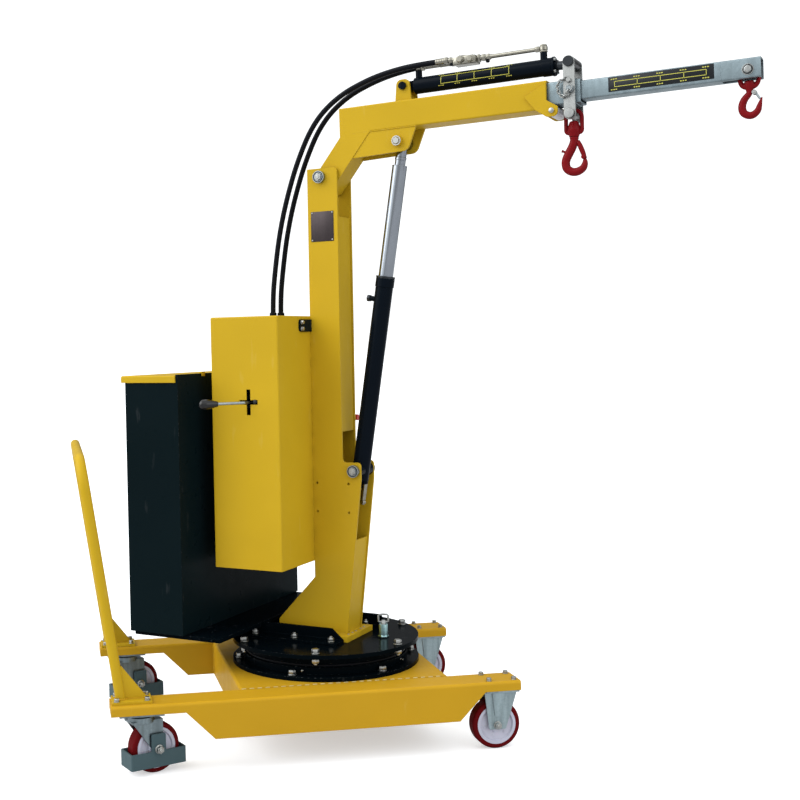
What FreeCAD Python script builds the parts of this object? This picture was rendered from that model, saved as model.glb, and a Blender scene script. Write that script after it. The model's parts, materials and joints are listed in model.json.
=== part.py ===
"""Mobile workshop crane with a slewing mast, a lifting boom and a telescopic jib.

All lengths are millimetres. The model frame has +X along the boom, +Y away from the
lever side and +Z up, with the floor at Z = 0. Pieces are drawn in local frames: the
chassis (on the floor under the slew axis, turned), the turntable (on the upper disc),
the boom (at its pivot) and the lift cylinder (at its lower pivot).
"""
import FreeCAD
import Part
import Sketcher
import math
import os

Vec = FreeCAD.Vector

CELLS = [
    # slew axis in the model frame, and the turn of the chassis about it
    ("axis_x", "-275.9"),
    ("axis_y", "73.1"),
    ("slew_angle", "38.7"),
    # wheels
    ("wheel_radius", "80"),
    ("wheel_width", "48"),
    ("tyre_depth", "19"),
    ("tread_round", "8"),
    ("axle_radius", "10"),
    ("hub_collar", "13"),
    ("hub_boss", "4"),
    ("hub_dish", "6"),
    ("hub_rim", "9"),
    # castor forks and foot guards
    ("fork_plate", "4"),
    ("fork_end", "20"),
    ("fork_foot", "28"),
    ("fork_toe", "14"),
    ("fork_rib", "3"),
    ("rib_half", "9"),
    ("fork_web", "6"),
    ("crown_room", "5"),
    ("crown_height", "32"),
    ("crown_radius", "43"),
    ("top_plate", "6"),
    ("race_radius", "34"),
    ("race_height", "8"),
    ("plate_half", "70"),
    ("plate_inset", "4"),
    ("front_inset", "73"),
    ("castor_inset", "96"),
    ("castor_trail", "40"),
    ("castor_yaw", "20"),
    ("guard_room", "9"),
    ("guard_side", "10"),
    ("guard_wall", "5"),
    ("guard_low", "24"),
    ("guard_high", "50"),
    ("tab_half", "24"),
    ("tab_over", "48"),
    # chassis beams and crossmember
    ("beam_front", "550"),
    ("beam_rear", "776"),
    ("beam_outer", "445"),
    ("beam_width", "116"),
    ("beam_depth", "120"),
    ("arm_depth", "31"),
    ("front_arm", "120"),
    ("front_taper", "87"),
    ("rear_arm", "233"),
    ("rear_taper", "90"),
    ("sheet_metal", "8"),
    ("fold_radius", "10"),
    ("cross_front", "2"),
    ("cross_rear", "97"),
    # push handle
    ("handle_set", "35"),
    ("handle_inset", "7"),
    ("handle_long", "768"),
    ("handle_lean", "8.2"),
    ("handle_tube", "16.5"),
    ("handle_bend", "90"),
    ("foot_back", "30"),
    ("foot_front", "95"),
    ("foot_half", "45"),
    ("foot_plate", "8"),
    ("gusset_long", "80"),
    ("gusset_high", "110"),
    ("gusset_top", "4"),
    # slewing ring
    ("disc_radius", "326"),
    ("disc_thick", "14"),
    ("ring_height", "60"),
    ("ring_radius", "286"),
    ("ring_bore", "210"),
    ("groove_depth", "9"),
    ("groove_half", "7"),
    # rails and base plate
    ("plate", "8"),
    ("rail_half", "104"),
    ("rail_height", "45"),
    ("rail_flange", "64"),
    ("rail_front", "122"),
    ("rail_slope", "42"),
    ("rail_inset", "12"),
    ("base_thick", "19"),
    ("base_rear", "170"),
    ("base_front", "14"),
    # mast
    ("mast_back", "-6"),
    ("mast_depth", "113"),
    ("mast_over", "30.2"),
    ("mast_open", "167"),
    ("mast_toe", "115"),
    ("mast_heel", "150"),
    ("heel_low", "30"),
    ("heel_high", "188"),
    ("ear_high", "29"),
    ("ear_low", "30"),
    ("ear_front", "24"),
    ("ear_round", "13"),
    ("window_low", "342"),
    ("window_high", "714"),
    ("panel_set", "4"),
    ("hole_x", "10"),
    ("hole_z", "437"),
    ("hole_wide", "119"),
    ("hole_tall", "99"),
    ("hole_radius", "4.5"),
    # boom pivot and lower cylinder pivot, above the upper disc
    ("pivot_x", "42.4"),
    ("pivot_z", "1590.8"),
    ("trunnion_x", "151.3"),
    ("trunnion_z", "580.6"),
    ("pin_radius", "15"),
    ("head_radius", "21"),
    ("head_high", "14"),
    # ballast tower on the rails, its lid and the ballast in it
    ("tower_rear", "540"),
    ("tower_front", "324"),
    ("tower_half", "420"),
    ("tower_high", "853"),
    ("tower_wall", "10"),
    ("tower_fold", "5"),
    ("tower_room", "4"),
    ("lid_depth", "24"),
    ("lid_rear", "11"),
    ("lid_side", "5"),
    ("panel_thick", "8"),
    ("panel_over", "3"),
    ("ballast_high", "200"),
    # power-pack cabinet
    ("cabinet_back", "265"),
    ("cabinet_half", "299"),
    ("cabinet_low", "264"),
    ("cabinet_high", "851"),
    ("cabinet_skin", "3"),
    ("cabinet_fold", "5"),
    ("gate_slot", "15"),
    ("gate_tall", "86"),
    ("gate_wide", "70"),
    ("hanger_long", "88"),
    ("hanger_round", "12"),
    ("hanger_tall", "42"),
    ("hanger_drop", "12"),
    ("hanger_plate", "6"),
    ("button_inset", "16"),
    ("button_z", "743"),
    ("button_radius", "11"),
    ("button_stem", "7"),
    ("button_high", "10"),
    # control lever
    ("lever_x", "-121"),
    ("lever_z", "827"),
    ("lever_deep", "28"),
    ("lever_rod", "5"),
    ("lever_reach", "60"),
    ("lever_crank", "52"),
    ("lever_rise", "-1"),
    ("lever_long", "88"),
    ("knob_long", "64"),
    ("knob_radius", "17.5"),
    ("yoke_half", "17"),
    ("yoke_tall", "20"),
    ("yoke_wall", "5"),
    ("valve_half", "60"),
    ("valve_tall", "50"),
    ("valve_deep", "58"),
    ("valve_arm", "12"),
    # slew lock
    ("lock_x", "215"),
    ("lock_y", "20"),
    ("lock_radius", "15"),
    ("lock_high", "46"),
    ("lock_floor", "8"),
    ("lock_pin", "8"),
    ("pin_rise", "24"),
    ("pull_half", "18"),
    ("pull_bar", "4"),
    ("pull_low", "57"),
    ("pull_high", "75"),
    # telescopic tubes
    ("boom_tilt", "0.8"),
    ("boom_axis", "183"),
    ("boom_rear", "75"),
    ("boom_front", "793"),
    ("inner_size", "70"),
    ("tube_wall", "4.5"),
    ("tube_round", "5"),
    ("jib_rear", "250"),
    ("jib_front", "897"),
    ("inner_rear", "520"),
    ("inner_tip", "1419"),
    ("tip_set", "36"),
    ("tip_bolt", "8"),
    ("slot_long", "110"),
    ("slot_half", "16"),
    ("chart_rear", "981"),
    ("chart_long", "309"),
    ("chart_half", "25"),
    ("chart_thick", "0.3"),
    # boom knee, cylinder cheeks and lugs
    ("knee_heel_x", "40"),
    ("knee_heel_z", "13"),
    ("knee_toe_x", "23"),
    ("knee_toe_z", "64"),
    ("knee_round", "18"),
    ("knee_front", "190"),
    ("knee_step", "9"),
    ("pin_x", "286.4"),
    ("pin_z", "94.3"),
    ("cheek_rear", "118"),
    ("cheek_low", "54"),
    ("cheek_round", "28"),
    ("cheek_set", "2"),
    ("cheek_front", "68"),
    ("cheek_reach", "34"),
    ("stub_radius", "17"),
    ("stub_high", "12"),
    ("lug_x", "306"),
    ("lug_half", "22"),
    ("lug_foot", "29"),
    ("lug_in", "24"),
    ("front_lug", "7"),
    ("front_lug_rear", "71"),
    ("front_lug_high", "36"),
    ("roller_x", "17"),
    ("roller_radius", "12"),
    ("roller_pin", "6"),
    ("roller_end", "18"),
    # lift cylinder
    ("lift_radius", "30"),
    ("lift_wall", "5"),
    ("lift_length", "664"),
    ("lift_foot", "34"),
    ("lift_floor", "40"),
    ("gland_long", "30"),
    ("gland_over", "2"),
    ("port_radius", "9"),
    ("port_drop", "74"),
    ("port_long", "16"),
    ("drain_long", "78"),
    ("foot_neck", "17"),
    ("foot_neck_long", "28"),
    ("bush_radius", "25"),
    ("rod_start", "320"),
    ("neck_long", "78"),
    ("neck_radius", "18"),
    ("eye_radius", "24"),
    # extension cylinder and its plumbing
    ("ext_axis", "277"),
    ("ext_radius", "27"),
    ("ext_rod", "14"),
    ("ext_start", "34"),
    ("ext_over", "10"),
    ("ext_bore", "56"),
    ("ext_pin", "9"),
    ("ext_head", "13"),
    ("ext_head_high", "10"),
    ("ext_eye", "17"),
    ("ext_port", "11"),
    ("ext_port_high", "22"),
    ("front_port", "18"),
    ("rear_port", "46"),
    ("block_x", "462"),
    ("block_long", "124"),
    ("block_half", "27"),
    ("block_tall", "32"),
    ("block_rise", "18"),
    ("pipe_radius", "5"),
    ("pipe_rise", "12"),
    # jib bracket
    ("bracket_set", "32"),
    ("bracket_half", "18"),
    ("bracket_plate", "8"),
    ("bracket_pin", "12"),
    ("bracket_head", "16"),
    ("bracket_eye", "18"),
    ("hook_drop", "68"),
    ("hook_pin", "10"),
    ("catch_radius", "7"),
    ("catch_collar", "12"),
    ("catch_rise", "8"),
    # hooks
    ("tip_wire", "5.5"),
    ("tip_half", "20"),
    ("tip_corner", "9"),
    ("tip_cross", "46"),
    ("tip_hub", "12"),
    ("tip_hub_drop", "56"),
    ("tip_shank", "8"),
    ("tip_bowl", "28"),
    ("tip_bar", "9.8"),
    ("tip_drop", "107"),
    ("mouth_start", "5"),
    ("mouth_end", "15"),
    ("tip_hinge_x", "16"),
    ("tip_hinge", "64"),
    ("latch_half", "5"),
    ("latch_bar", "3.5"),
    ("latch_long", "24"),
    ("latch_lean", "33"),
    ("link_half", "25"),
    ("link_wire", "6.5"),
    ("link_corner", "10"),
    ("link_drop", "54"),
    ("link_hub", "15.5"),
    ("hub_drop", "66"),
    ("neck_drop", "94"),
    ("hook_neck", "11"),
    ("hook_bowl", "30"),
    ("hook_bar", "11"),
    ("bowl_drop", "153"),
    ("bowl_start", "20"),
    ("bowl_end", "5"),
    ("shoulder_long", "63"),
    ("shoulder_lean", "24"),
    ("gate_hinge_x", "31.5"),
    ("gate_hinge", "132"),
    ("gate_bar", "6"),
    ("gate_long", "38"),
    ("gate_lean", "36"),
    ("hinge_radius", "3"),
    # hoses and clearances
    ("hose_radius", "9"),
    ("slide_gap", "0.5"),
    ("pin_gap", "0.05"),
    ("bearing_gap", "0.5"),
    ("wheel_gap", "1"),
    ("boom_gap", "5"),
]

doc = FreeCAD.newDocument("swivel_crane")
cells = doc.addObject("Spreadsheet::Sheet", "P")
for row, (alias, value) in enumerate(CELLS, 1):
    cells.set(f"A{row}", alias)
    cells.set(f"B{row}", value)
    cells.setAlias(f"B{row}", alias)
doc.recompute()

NODES = []
TINY = 0.01
START_SIZE = 50
START_ROUND = 0.5
PLANES = {
    "xy": (FreeCAD.Rotation(), "z"),
    "xz": (FreeCAD.Rotation(Vec(1, 0, 0), 90), "y"),
    "yz": (FreeCAD.Rotation(Vec(1, 1, 1), 120), "x"),
}
TURNS = {
    "x": FreeCAD.Rotation(Vec(0, 1, 0), 90),
    "y": FreeCAD.Rotation(Vec(1, 0, 0), -90),
    "z": FreeCAD.Rotation(),
}


def place(x="0", y="0", z="0", axis=(0, 0, 1), angle="0"):
    """Expression of a placement: a position and a turn about one axis."""
    turn = "rotation(vector({};{};{}); {})".format(*axis, angle)
    return f"placement(vector({x}; {y}; {z}); {turn})"


def mirrored(sign, inner, outer):
    """Limits on one side of the middle plane, from an inner to an outer distance."""
    if sign == "1":
        return inner, outer
    return f"-({outer})", f"-({inner})"


def runs(edge, axis):
    """True for a straight edge along one local axis."""
    step = edge.Vertexes[-1].Point - edge.Vertexes[0].Point
    return step.Length > TINY and abs(getattr(step, axis)) > step.Length - TINY


def at_top(edge, box):
    """True for an edge at the top of a shape's box."""
    return all(corner.Z > box.ZMax - TINY for corner in edge.Vertexes)


class Node:
    """One named sub-part: a body whose features are bound to the sheet."""

    def __init__(self, label, frame):
        self.body = doc.addObject("PartDesign::Body", label)
        self.body.Label = label
        self.body.setExpression("Placement", frame)
        NODES.append(self.body)

    def feature(self, kind, name):
        made = doc.addObject(kind, f"{self.body.Name}_{name}")
        self.body.addObject(made)
        return made

    def box(self, x, y, z, cut=False):
        made = self.feature("PartDesign::SubtractiveBox" if cut else "PartDesign::AdditiveBox", "box")
        for side, base, (low, high) in zip(("Length", "Width", "Height"), "xyz", (x, y, z)):
            made.setExpression(side, f"({high}) - ({low})")
            made.setExpression(f"Placement.Base.{base}", low)

    def rod(self, axis, radius, start, end, at, cut=False):
        """A cylinder along one local axis from start to end; at is its other two positions."""
        kind = "PartDesign::SubtractiveCylinder" if cut else "PartDesign::AdditiveCylinder"
        made = self.feature(kind, "rod")
        made.Placement = FreeCAD.Placement(Vec(), TURNS[axis])
        made.setExpression("Radius", radius)
        made.setExpression("Height", f"({end}) - ({start})")
        made.setExpression(f"Placement.Base.{axis}", start)
        across = [other for other in "xyz" if other != axis]
        for base, value in zip(across, at):
            made.setExpression(f"Placement.Base.{base}", value)

    def sketch(self, plane, corners, shift="0"):
        """A closed outline in a local plane; a corner is (across, up) or (across, up, rounding)."""
        made = self.feature("Sketcher::SketchObject", "sketch")
        turn, normal = PLANES[plane]
        made.Placement = FreeCAD.Placement(Vec(), turn)
        made.setExpression(f"Placement.Base.{normal}", shift)
        count = len(corners)
        step = FreeCAD.Rotation(Vec(0, 0, 1), 360 / count)
        start = [Vec(START_SIZE, 0, 0)]
        for _ in corners[1:]:
            start.append(step.multVec(start[-1]))
        for i in range(count):
            made.addGeometry(Part.LineSegment(start[i], start[(i + 1) % count]), False)
        for i in range(count):
            made.addConstraint(Sketcher.Constraint("Coincident", i, 2, (i + 1) % count, 1))
        for i, corner in enumerate(corners):
            for word, value, now in zip(("DistanceX", "DistanceY"), corner, start[i]):
                index = made.addConstraint(Sketcher.Constraint(word, -1, 1, i, 1, now))
                made.setExpression(f"Constraints[{index}]", value)
        doc.recompute()
        for i, corner in enumerate(corners):
            if len(corner) == 3:
                arc = made.GeometryCount
                made.fillet(i, 1, START_ROUND, True, True, False)
                index = made.addConstraint(Sketcher.Constraint("Radius", arc, START_ROUND))
                made.setExpression(f"Constraints[{index}]", corner[2])
        return made

    def prism(self, plane, corners, depth, middle="0", cut=False):
        """An outline extruded both ways from a local plane."""
        profile = self.sketch(plane, corners, middle)
        made = self.feature("PartDesign::Pocket" if cut else "PartDesign::Pad", "prism")
        made.Profile = profile
        made.Midplane = True
        made.setExpression("Length", depth)

    def lathe(self, plane, corners):
        """An outline turned about the plane's vertical axis."""
        profile = self.sketch(plane, corners)
        made = self.feature("PartDesign::Revolution", "lathe")
        made.Profile = profile
        made.ReferenceAxis = (profile, ["V_Axis"])
        made.Angle = 360

    def ring(self, big, small, frame, sweep="360"):
        """A torus, or part of one, about the local Z of a placement expression."""
        made = self.feature("PartDesign::AdditiveTorus", "ring")
        made.setExpression("Radius1", big)
        made.setExpression("Radius2", small)
        made.setExpression("Angle3", sweep)
        made.setExpression("Placement", frame)

    def bar(self, radius, length, frame):
        """A cylinder along the local Z of a placement expression."""
        made = self.feature("PartDesign::AdditiveCylinder", "bar")
        made.setExpression("Radius", radius)
        made.setExpression("Height", length)
        made.setExpression("Placement", frame)

    def ball(self, radius, x, y, z):
        made = self.feature("PartDesign::AdditiveSphere", "ball")
        made.setExpression("Radius", radius)
        for base, value in zip("xyz", (x, y, z)):
            made.setExpression(f"Placement.Base.{base}", value)

    def fillet(self, radius, wanted):
        """Rounds the edges of the shape so far that wanted(edge, box) picks."""
        doc.recompute()
        base = self.body.Tip
        box = base.Shape.BoundBox
        picked = [f"Edge{i}" for i, edge in enumerate(base.Shape.Edges, 1) if wanted(edge, box)]
        made = self.feature("PartDesign::Fillet", "fillet")
        made.Base = (base, picked)
        made.setExpression("Radius", radius)


# heights, from the wheels up
HUB_RADIUS = "(P.wheel_radius - P.tyre_depth)"
FORK_HALF = "(P.wheel_width / 2 + P.hub_boss + P.wheel_gap)"
FORK_OUT = f"({FORK_HALF} + P.fork_plate)"
ARM_Z = "(2 * P.wheel_radius + P.crown_room + P.crown_height)"
BEAM_TOP = f"({ARM_Z} + P.arm_depth)"
BEAM_LOW = f"({BEAM_TOP} - P.beam_depth)"
RING_Z = f"({BEAM_TOP} + P.disc_thick)"
UPPER_Z = f"({RING_Z} + P.ring_height)"
DISC_TOP = f"({UPPER_Z} + P.disc_thick)"

# tube sizes, from the innermost out
TUBE_STEP = "2 * (P.slide_gap + P.tube_wall)"
INNER_HALF = "(P.inner_size / 2)"
JIB_HALF = f"({INNER_HALF} + ({TUBE_STEP}) / 2)"
BOOM_HALF = f"({JIB_HALF} + ({TUBE_STEP}) / 2)"
MAST_HALF = f"({BOOM_HALF} + P.boom_gap + P.plate)"

# local frames
CHASSIS = place("P.axis_x", "P.axis_y", angle="P.slew_angle")
UPPER = place("P.axis_x", "P.axis_y", DISC_TOP)
BOOM = UPPER + " * " + place("P.pivot_x", "0", "P.pivot_z", (0, -1, 0), "P.boom_tilt")
PIN_X = "(P.pivot_x + P.pin_x * cos(P.boom_tilt) - P.pin_z * sin(P.boom_tilt))"
PIN_Z = "(P.pivot_z + P.pin_x * sin(P.boom_tilt) + P.pin_z * cos(P.boom_tilt))"
LIFT_LEAN = f"atan2({PIN_X} - P.trunnion_x; {PIN_Z} - P.trunnion_z)"
LIFT_SPAN = f"hypot({PIN_X} - P.trunnion_x; {PIN_Z} - P.trunnion_z)"
LIFT = UPPER + " * " + place("P.trunnion_x", "0", "P.trunnion_z", (0, 1, 0), LIFT_LEAN)

SIDES = (("near", "-1"), ("far", "1"))
SIGNS = ("-1", "1")

# chassis: two folded beams with shallow arms at their ends, and a tray between them
INNER_Y = "(P.beam_outer - P.beam_width)"
MID_Y = "(P.beam_outer - P.beam_width / 2)"
FRONT_DEEP = "(P.beam_front - P.front_arm - P.front_taper)"
REAR_DEEP = "(P.beam_rear - P.rear_arm - P.rear_taper)"

for side, sign in SIDES:
    beam = Node(f"beam_{side}", CHASSIS)
    beam.prism("xz", [
        ("-P.beam_rear", BEAM_TOP),
        ("-P.beam_rear", ARM_Z),
        ("-P.beam_rear + P.rear_arm", ARM_Z),
        (f"-{REAR_DEEP}", BEAM_LOW),
        (FRONT_DEEP, BEAM_LOW),
        ("P.beam_front - P.front_arm", ARM_Z),
        ("P.beam_front", ARM_Z),
        ("P.beam_front", BEAM_TOP),
    ], "P.beam_width", f"{sign} * {MID_Y}")
    beam.fillet("P.fold_radius", lambda edge, box: runs(edge, "x") and at_top(edge, box))
    beam.box(
        (f"-{REAR_DEEP}", FRONT_DEEP),
        mirrored(sign, f"{INNER_Y} + P.sheet_metal", "P.beam_outer - P.sheet_metal"),
        (f"{BEAM_LOW} - 1", f"{BEAM_TOP} - P.sheet_metal"),
        cut=True,
    )

CROSS_FRONT = f"({FRONT_DEEP} - P.cross_front)"
CROSS_REAR = f"({REAR_DEEP} - P.cross_rear)"
cross = Node("crossmember", CHASSIS)
cross.box((f"-{CROSS_REAR}", CROSS_FRONT), (f"-{INNER_Y}", INNER_Y), (BEAM_LOW, BEAM_TOP))
cross.fillet("P.fold_radius", lambda edge, box: runs(edge, "y") and at_top(edge, box))
cross.box(
    (f"-{CROSS_REAR} + P.sheet_metal", f"{CROSS_FRONT} - P.sheet_metal"),
    (f"-{INNER_Y} + P.sheet_metal", f"{INNER_Y} - P.sheet_metal"),
    (f"{BEAM_LOW} - 1", f"{BEAM_TOP} - P.sheet_metal"),
    cut=True,
)

# slewing ring: a lower disc, a grooved bearing ring and an upper disc
lower = Node("lower_disc", CHASSIS)
lower.rod("z", "P.disc_radius", BEAM_TOP, RING_Z, ("0", "0"))
lower.rod("z", "P.ring_bore", f"{BEAM_TOP} - 1", f"{RING_Z} + 1", ("0", "0"), cut=True)
ring = Node("slewing_ring", CHASSIS + " * " + place("0", "0", RING_Z))
GROOVE_Z = "(P.ring_height / 2)"
ring.lathe("xz", [
    ("P.ring_bore", "0"),
    ("P.ring_radius", "0"),
    ("P.ring_radius", f"{GROOVE_Z} - P.groove_half"),
    ("P.ring_radius - P.groove_depth", f"{GROOVE_Z} - P.groove_half"),
    ("P.ring_radius - P.groove_depth", f"{GROOVE_Z} + P.groove_half"),
    ("P.ring_radius", f"{GROOVE_Z} + P.groove_half"),
    ("P.ring_radius", "P.ring_height - P.bearing_gap"),
    ("P.ring_bore", "P.ring_height - P.bearing_gap"),
])
upper = Node("upper_disc", UPPER)
upper.rod("z", "P.disc_radius", "-P.disc_thick", "0", ("0", "0"))


def wheel(label, frame):
    """A dished hub with an axle hole, and a tyre bonded round it; the axle runs along local Y."""
    half = "(P.wheel_width / 2)"
    hub = Node(f"{label}_hub", frame)
    face = f"{half} - P.hub_dish"
    collar = "P.axle_radius + P.hub_collar"
    hub.lathe("xy", [
        ("P.axle_radius + P.pin_gap", f"-({half} + P.hub_boss)"),
        (collar, f"-({half} + P.hub_boss)"),
        (f"{collar} + P.hub_boss", f"-({face})"),
        (f"{HUB_RADIUS} - P.hub_rim", f"-({face})"),
        (f"{HUB_RADIUS} - P.hub_rim / 2", f"-({half})"),
        (HUB_RADIUS, f"-({half})"),
        (HUB_RADIUS, half),
        (f"{HUB_RADIUS} - P.hub_rim / 2", half),
        (f"{HUB_RADIUS} - P.hub_rim", face),
        (f"{collar} + P.hub_boss", face),
        (collar, f"{half} + P.hub_boss"),
        ("P.axle_radius + P.pin_gap", f"{half} + P.hub_boss"),
    ])
    tyre = Node(f"{label}_tyre", frame)
    tyre.lathe("xy", [
        (HUB_RADIUS, f"-{half}"),
        ("P.wheel_radius", f"-{half}", "P.tread_round"),
        ("P.wheel_radius", half, "P.tread_round"),
        (HUB_RADIUS, half),
    ])


# fixed front castors: a top plate and two pressed legs with a rib, round the axle at their ends
PLATE_Y = "(P.beam_width / 2 - P.plate_inset)"
for side, sign in SIDES:
    axle = CHASSIS + " * " + place("P.beam_front - P.front_inset", f"{sign} * {MID_Y}", "P.wheel_radius")
    arm = f"({ARM_Z} - P.wheel_radius)"
    plate_rear = "(P.front_inset - P.front_arm + P.plate_inset)"
    plate_front = "(P.front_inset - P.plate_inset)"
    fork = Node(f"front_fork_{side}", axle)
    fork.box((plate_rear, plate_front), (f"-{PLATE_Y}", PLATE_Y), (f"{arm} - P.top_plate", arm))
    for leg_sign in SIGNS:
        fork.prism("xz", [
            (plate_rear, f"{arm} - P.top_plate / 2"),
            ("-P.fork_foot", "-P.fork_toe", "P.fork_toe / 2"),
            ("P.fork_foot", "-P.fork_toe", "P.fork_toe / 2"),
            (plate_front, f"{arm} - P.top_plate / 2"),
        ], "P.fork_plate", f"{leg_sign} * ({FORK_OUT} - P.fork_plate / 2)")
        fork.prism("xz", [
            ("-2 * P.rib_half", f"{arm} - P.top_plate / 2"),
            ("-P.rib_half", "P.fork_end + P.rib_half", "P.rib_half / 2"),
            ("P.rib_half", "P.fork_end + P.rib_half", "P.rib_half / 2"),
            ("3 * P.rib_half", f"{arm} - P.top_plate / 2"),
        ], "P.fork_rib", f"{leg_sign} * ({FORK_OUT} + P.fork_rib / 2)")
    axle_end = f"({FORK_OUT} + P.head_high)"
    fork.rod("y", "P.axle_radius", f"-{axle_end}", axle_end, ("0", "0"))
    wheel(f"front_wheel_{side}", axle)

# swivelling rear castors, each with a foot guard hung on the axle
GUARD_Y = f"({FORK_OUT} + P.guard_side)"
CROWN_Z = f"({ARM_Z} - P.crown_height)"
for side, sign in SIDES:
    swivel = CHASSIS + " * " + place("-P.beam_rear + P.castor_inset", f"{sign} * {MID_Y}")
    plate = Node(f"castor_plate_{side}", swivel)
    plate.box(("-P.plate_half", "P.plate_half"), (f"-{PLATE_Y}", PLATE_Y), (f"{ARM_Z} - P.top_plate", ARM_Z))
    race_z = f"({ARM_Z} - P.top_plate - P.race_height)"
    plate.rod("z", "P.race_radius", race_z, f"{ARM_Z} - P.top_plate / 2", ("0", "0"))
    swivel = swivel + " * " + place(angle="P.castor_yaw")
    fork = Node(f"castor_fork_{side}", swivel)
    fork.rod("z", "P.crown_radius", CROWN_Z, f"{race_z} - P.bearing_gap", ("0", "0"))
    fork.box(("-P.crown_radius", "P.castor_trail + P.fork_end"), (f"-{FORK_OUT}", FORK_OUT),
             (CROWN_Z, f"{CROWN_Z} + P.fork_web"))
    for leg_sign in SIGNS:
        fork.prism("xz", [
            ("-P.crown_radius", f"{CROWN_Z} + P.fork_web"),
            ("P.castor_trail - P.fork_end", "P.wheel_radius"),
            ("P.castor_trail + P.fork_end", "P.wheel_radius"),
            ("P.castor_trail + P.fork_end", f"{CROWN_Z} + P.fork_web"),
        ], "P.fork_plate", f"{leg_sign} * ({FORK_OUT} - P.fork_plate / 2)")
        fork.rod("y", "P.fork_end", *mirrored(leg_sign, FORK_HALF, FORK_OUT),
                 ("P.castor_trail", "P.wheel_radius"))
    axle_end = f"({GUARD_Y} + P.head_high / 2)"
    fork.rod("y", "P.axle_radius", f"-{axle_end}", axle_end, ("P.castor_trail", "P.wheel_radius"))
    guard = Node(f"foot_guard_{side}", swivel + " * " + place("P.castor_trail"))
    guard_x = "(P.wheel_radius + P.guard_room + P.guard_wall)"
    guard_top = "(P.guard_low + P.guard_high)"
    guard.box((f"-{guard_x}", guard_x), (f"-{GUARD_Y}", GUARD_Y), ("P.guard_low", guard_top))
    guard.fillet("P.guard_wall", lambda edge, box: runs(edge, "z"))
    guard.box(
        (f"-{guard_x} + P.guard_wall", f"{guard_x} - P.guard_wall"),
        (f"-{GUARD_Y} + P.guard_wall", f"{GUARD_Y} - P.guard_wall"),
        ("P.guard_low - 1", f"{guard_top} + 1"),
        cut=True,
    )
    for leg_sign in SIGNS:
        guard.prism("xz", [
            ("-P.tab_half", f"{guard_top} - P.guard_wall"),
            ("P.tab_half", f"{guard_top} - P.guard_wall"),
            ("P.tab_half", "P.wheel_radius + P.tab_over", "P.guard_wall"),
            ("-P.tab_half", "P.wheel_radius + P.tab_over", "P.guard_wall"),
        ], "P.guard_wall", f"{leg_sign} * ({GUARD_Y} - P.guard_wall / 2)")
    guard.rod("y", "P.axle_radius + P.pin_gap", f"-{GUARD_Y} - 1", f"{GUARD_Y} + 1",
              ("0", "P.wheel_radius"), cut=True)
    wheel(f"castor_wheel_{side}", swivel + " * " + place("P.castor_trail", "0", "P.wheel_radius"))

# push handle: two feet with gussets, then two legs, two bends and a cross bar in one leaning plane
HANDLE = CHASSIS + " * " + place("-P.beam_rear + P.handle_set", "0", BEAM_TOP)
LEAN = place(axis=(0, -1, 0), angle="P.handle_lean")
LEG_Y = f"({MID_Y} - P.handle_inset)"
BEND_Y = f"({LEG_Y} - P.handle_bend)"
BEND_Z = "(P.handle_long - P.handle_bend)"
handle = Node("push_handle", HANDLE)
across = place("0", f"-{BEND_Y}", "P.handle_long", (1, 0, 0), "-90")
handle.bar("P.handle_tube", f"2 * {BEND_Y}", f"{LEAN} * {across}")
for sign, start in (("-1", "90"), ("1", "0")):
    leg_y = f"{sign} * {LEG_Y}"
    bend = place("0", f"{sign} * {BEND_Y}", BEND_Z, (1, 1, 1), "120")
    handle.ring("P.handle_bend", "P.handle_tube", f"{LEAN} * {bend} * {place(angle=start)}", "90")
    seat = "P.foot_plate / 2"
    handle.bar("P.handle_tube", f"{BEND_Z} - {seat}", f"{LEAN} * {place('0', leg_y, seat)}")
    handle.box(("-P.foot_back", "P.foot_front"), (f"{leg_y} - P.foot_half", f"{leg_y} + P.foot_half"),
               ("0", "P.foot_plate"))
    handle.prism("xz", [
        ("0", seat),
        ("P.gusset_long", seat),
        ("P.gusset_long", "P.foot_plate + P.gusset_top"),
        ("P.gusset_top", "P.gusset_high"),
        ("-P.handle_tube / 2", "P.gusset_high"),
    ], "P.foot_plate", leg_y)

# rails: two angles on the upper disc, sloped at the front, which carry the ballast
for side, sign in SIDES:
    rail = Node(f"rail_{side}", UPPER)
    web = f"{sign} * P.rail_half"
    web_out = f"{sign} * (P.rail_half + P.plate)"
    flange = f"{sign} * (P.rail_half + P.rail_flange)"
    rail_rear = "(P.tower_rear - P.rail_inset)"
    rail.prism("yz", [
        (web, "0"),
        (flange, "0"),
        (flange, "P.plate"),
        (web_out, "P.plate", "P.plate / 2"),
        (web_out, "P.rail_height"),
        (web, "P.rail_height"),
    ], f"{rail_rear} + P.rail_front", f"(P.rail_front - {rail_rear}) / 2")
    rail.prism("xz", [
        ("P.rail_front - P.rail_slope", "P.rail_height"),
        ("P.rail_front", "P.plate"),
        ("P.rail_front + 1", "P.plate"),
        ("P.rail_front + 1", "P.rail_height + 1"),
        ("P.rail_front - P.rail_slope", "P.rail_height + 1"),
    ], "4 * P.plate", f"{sign} * (P.rail_half + P.plate)", cut=True)

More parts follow.
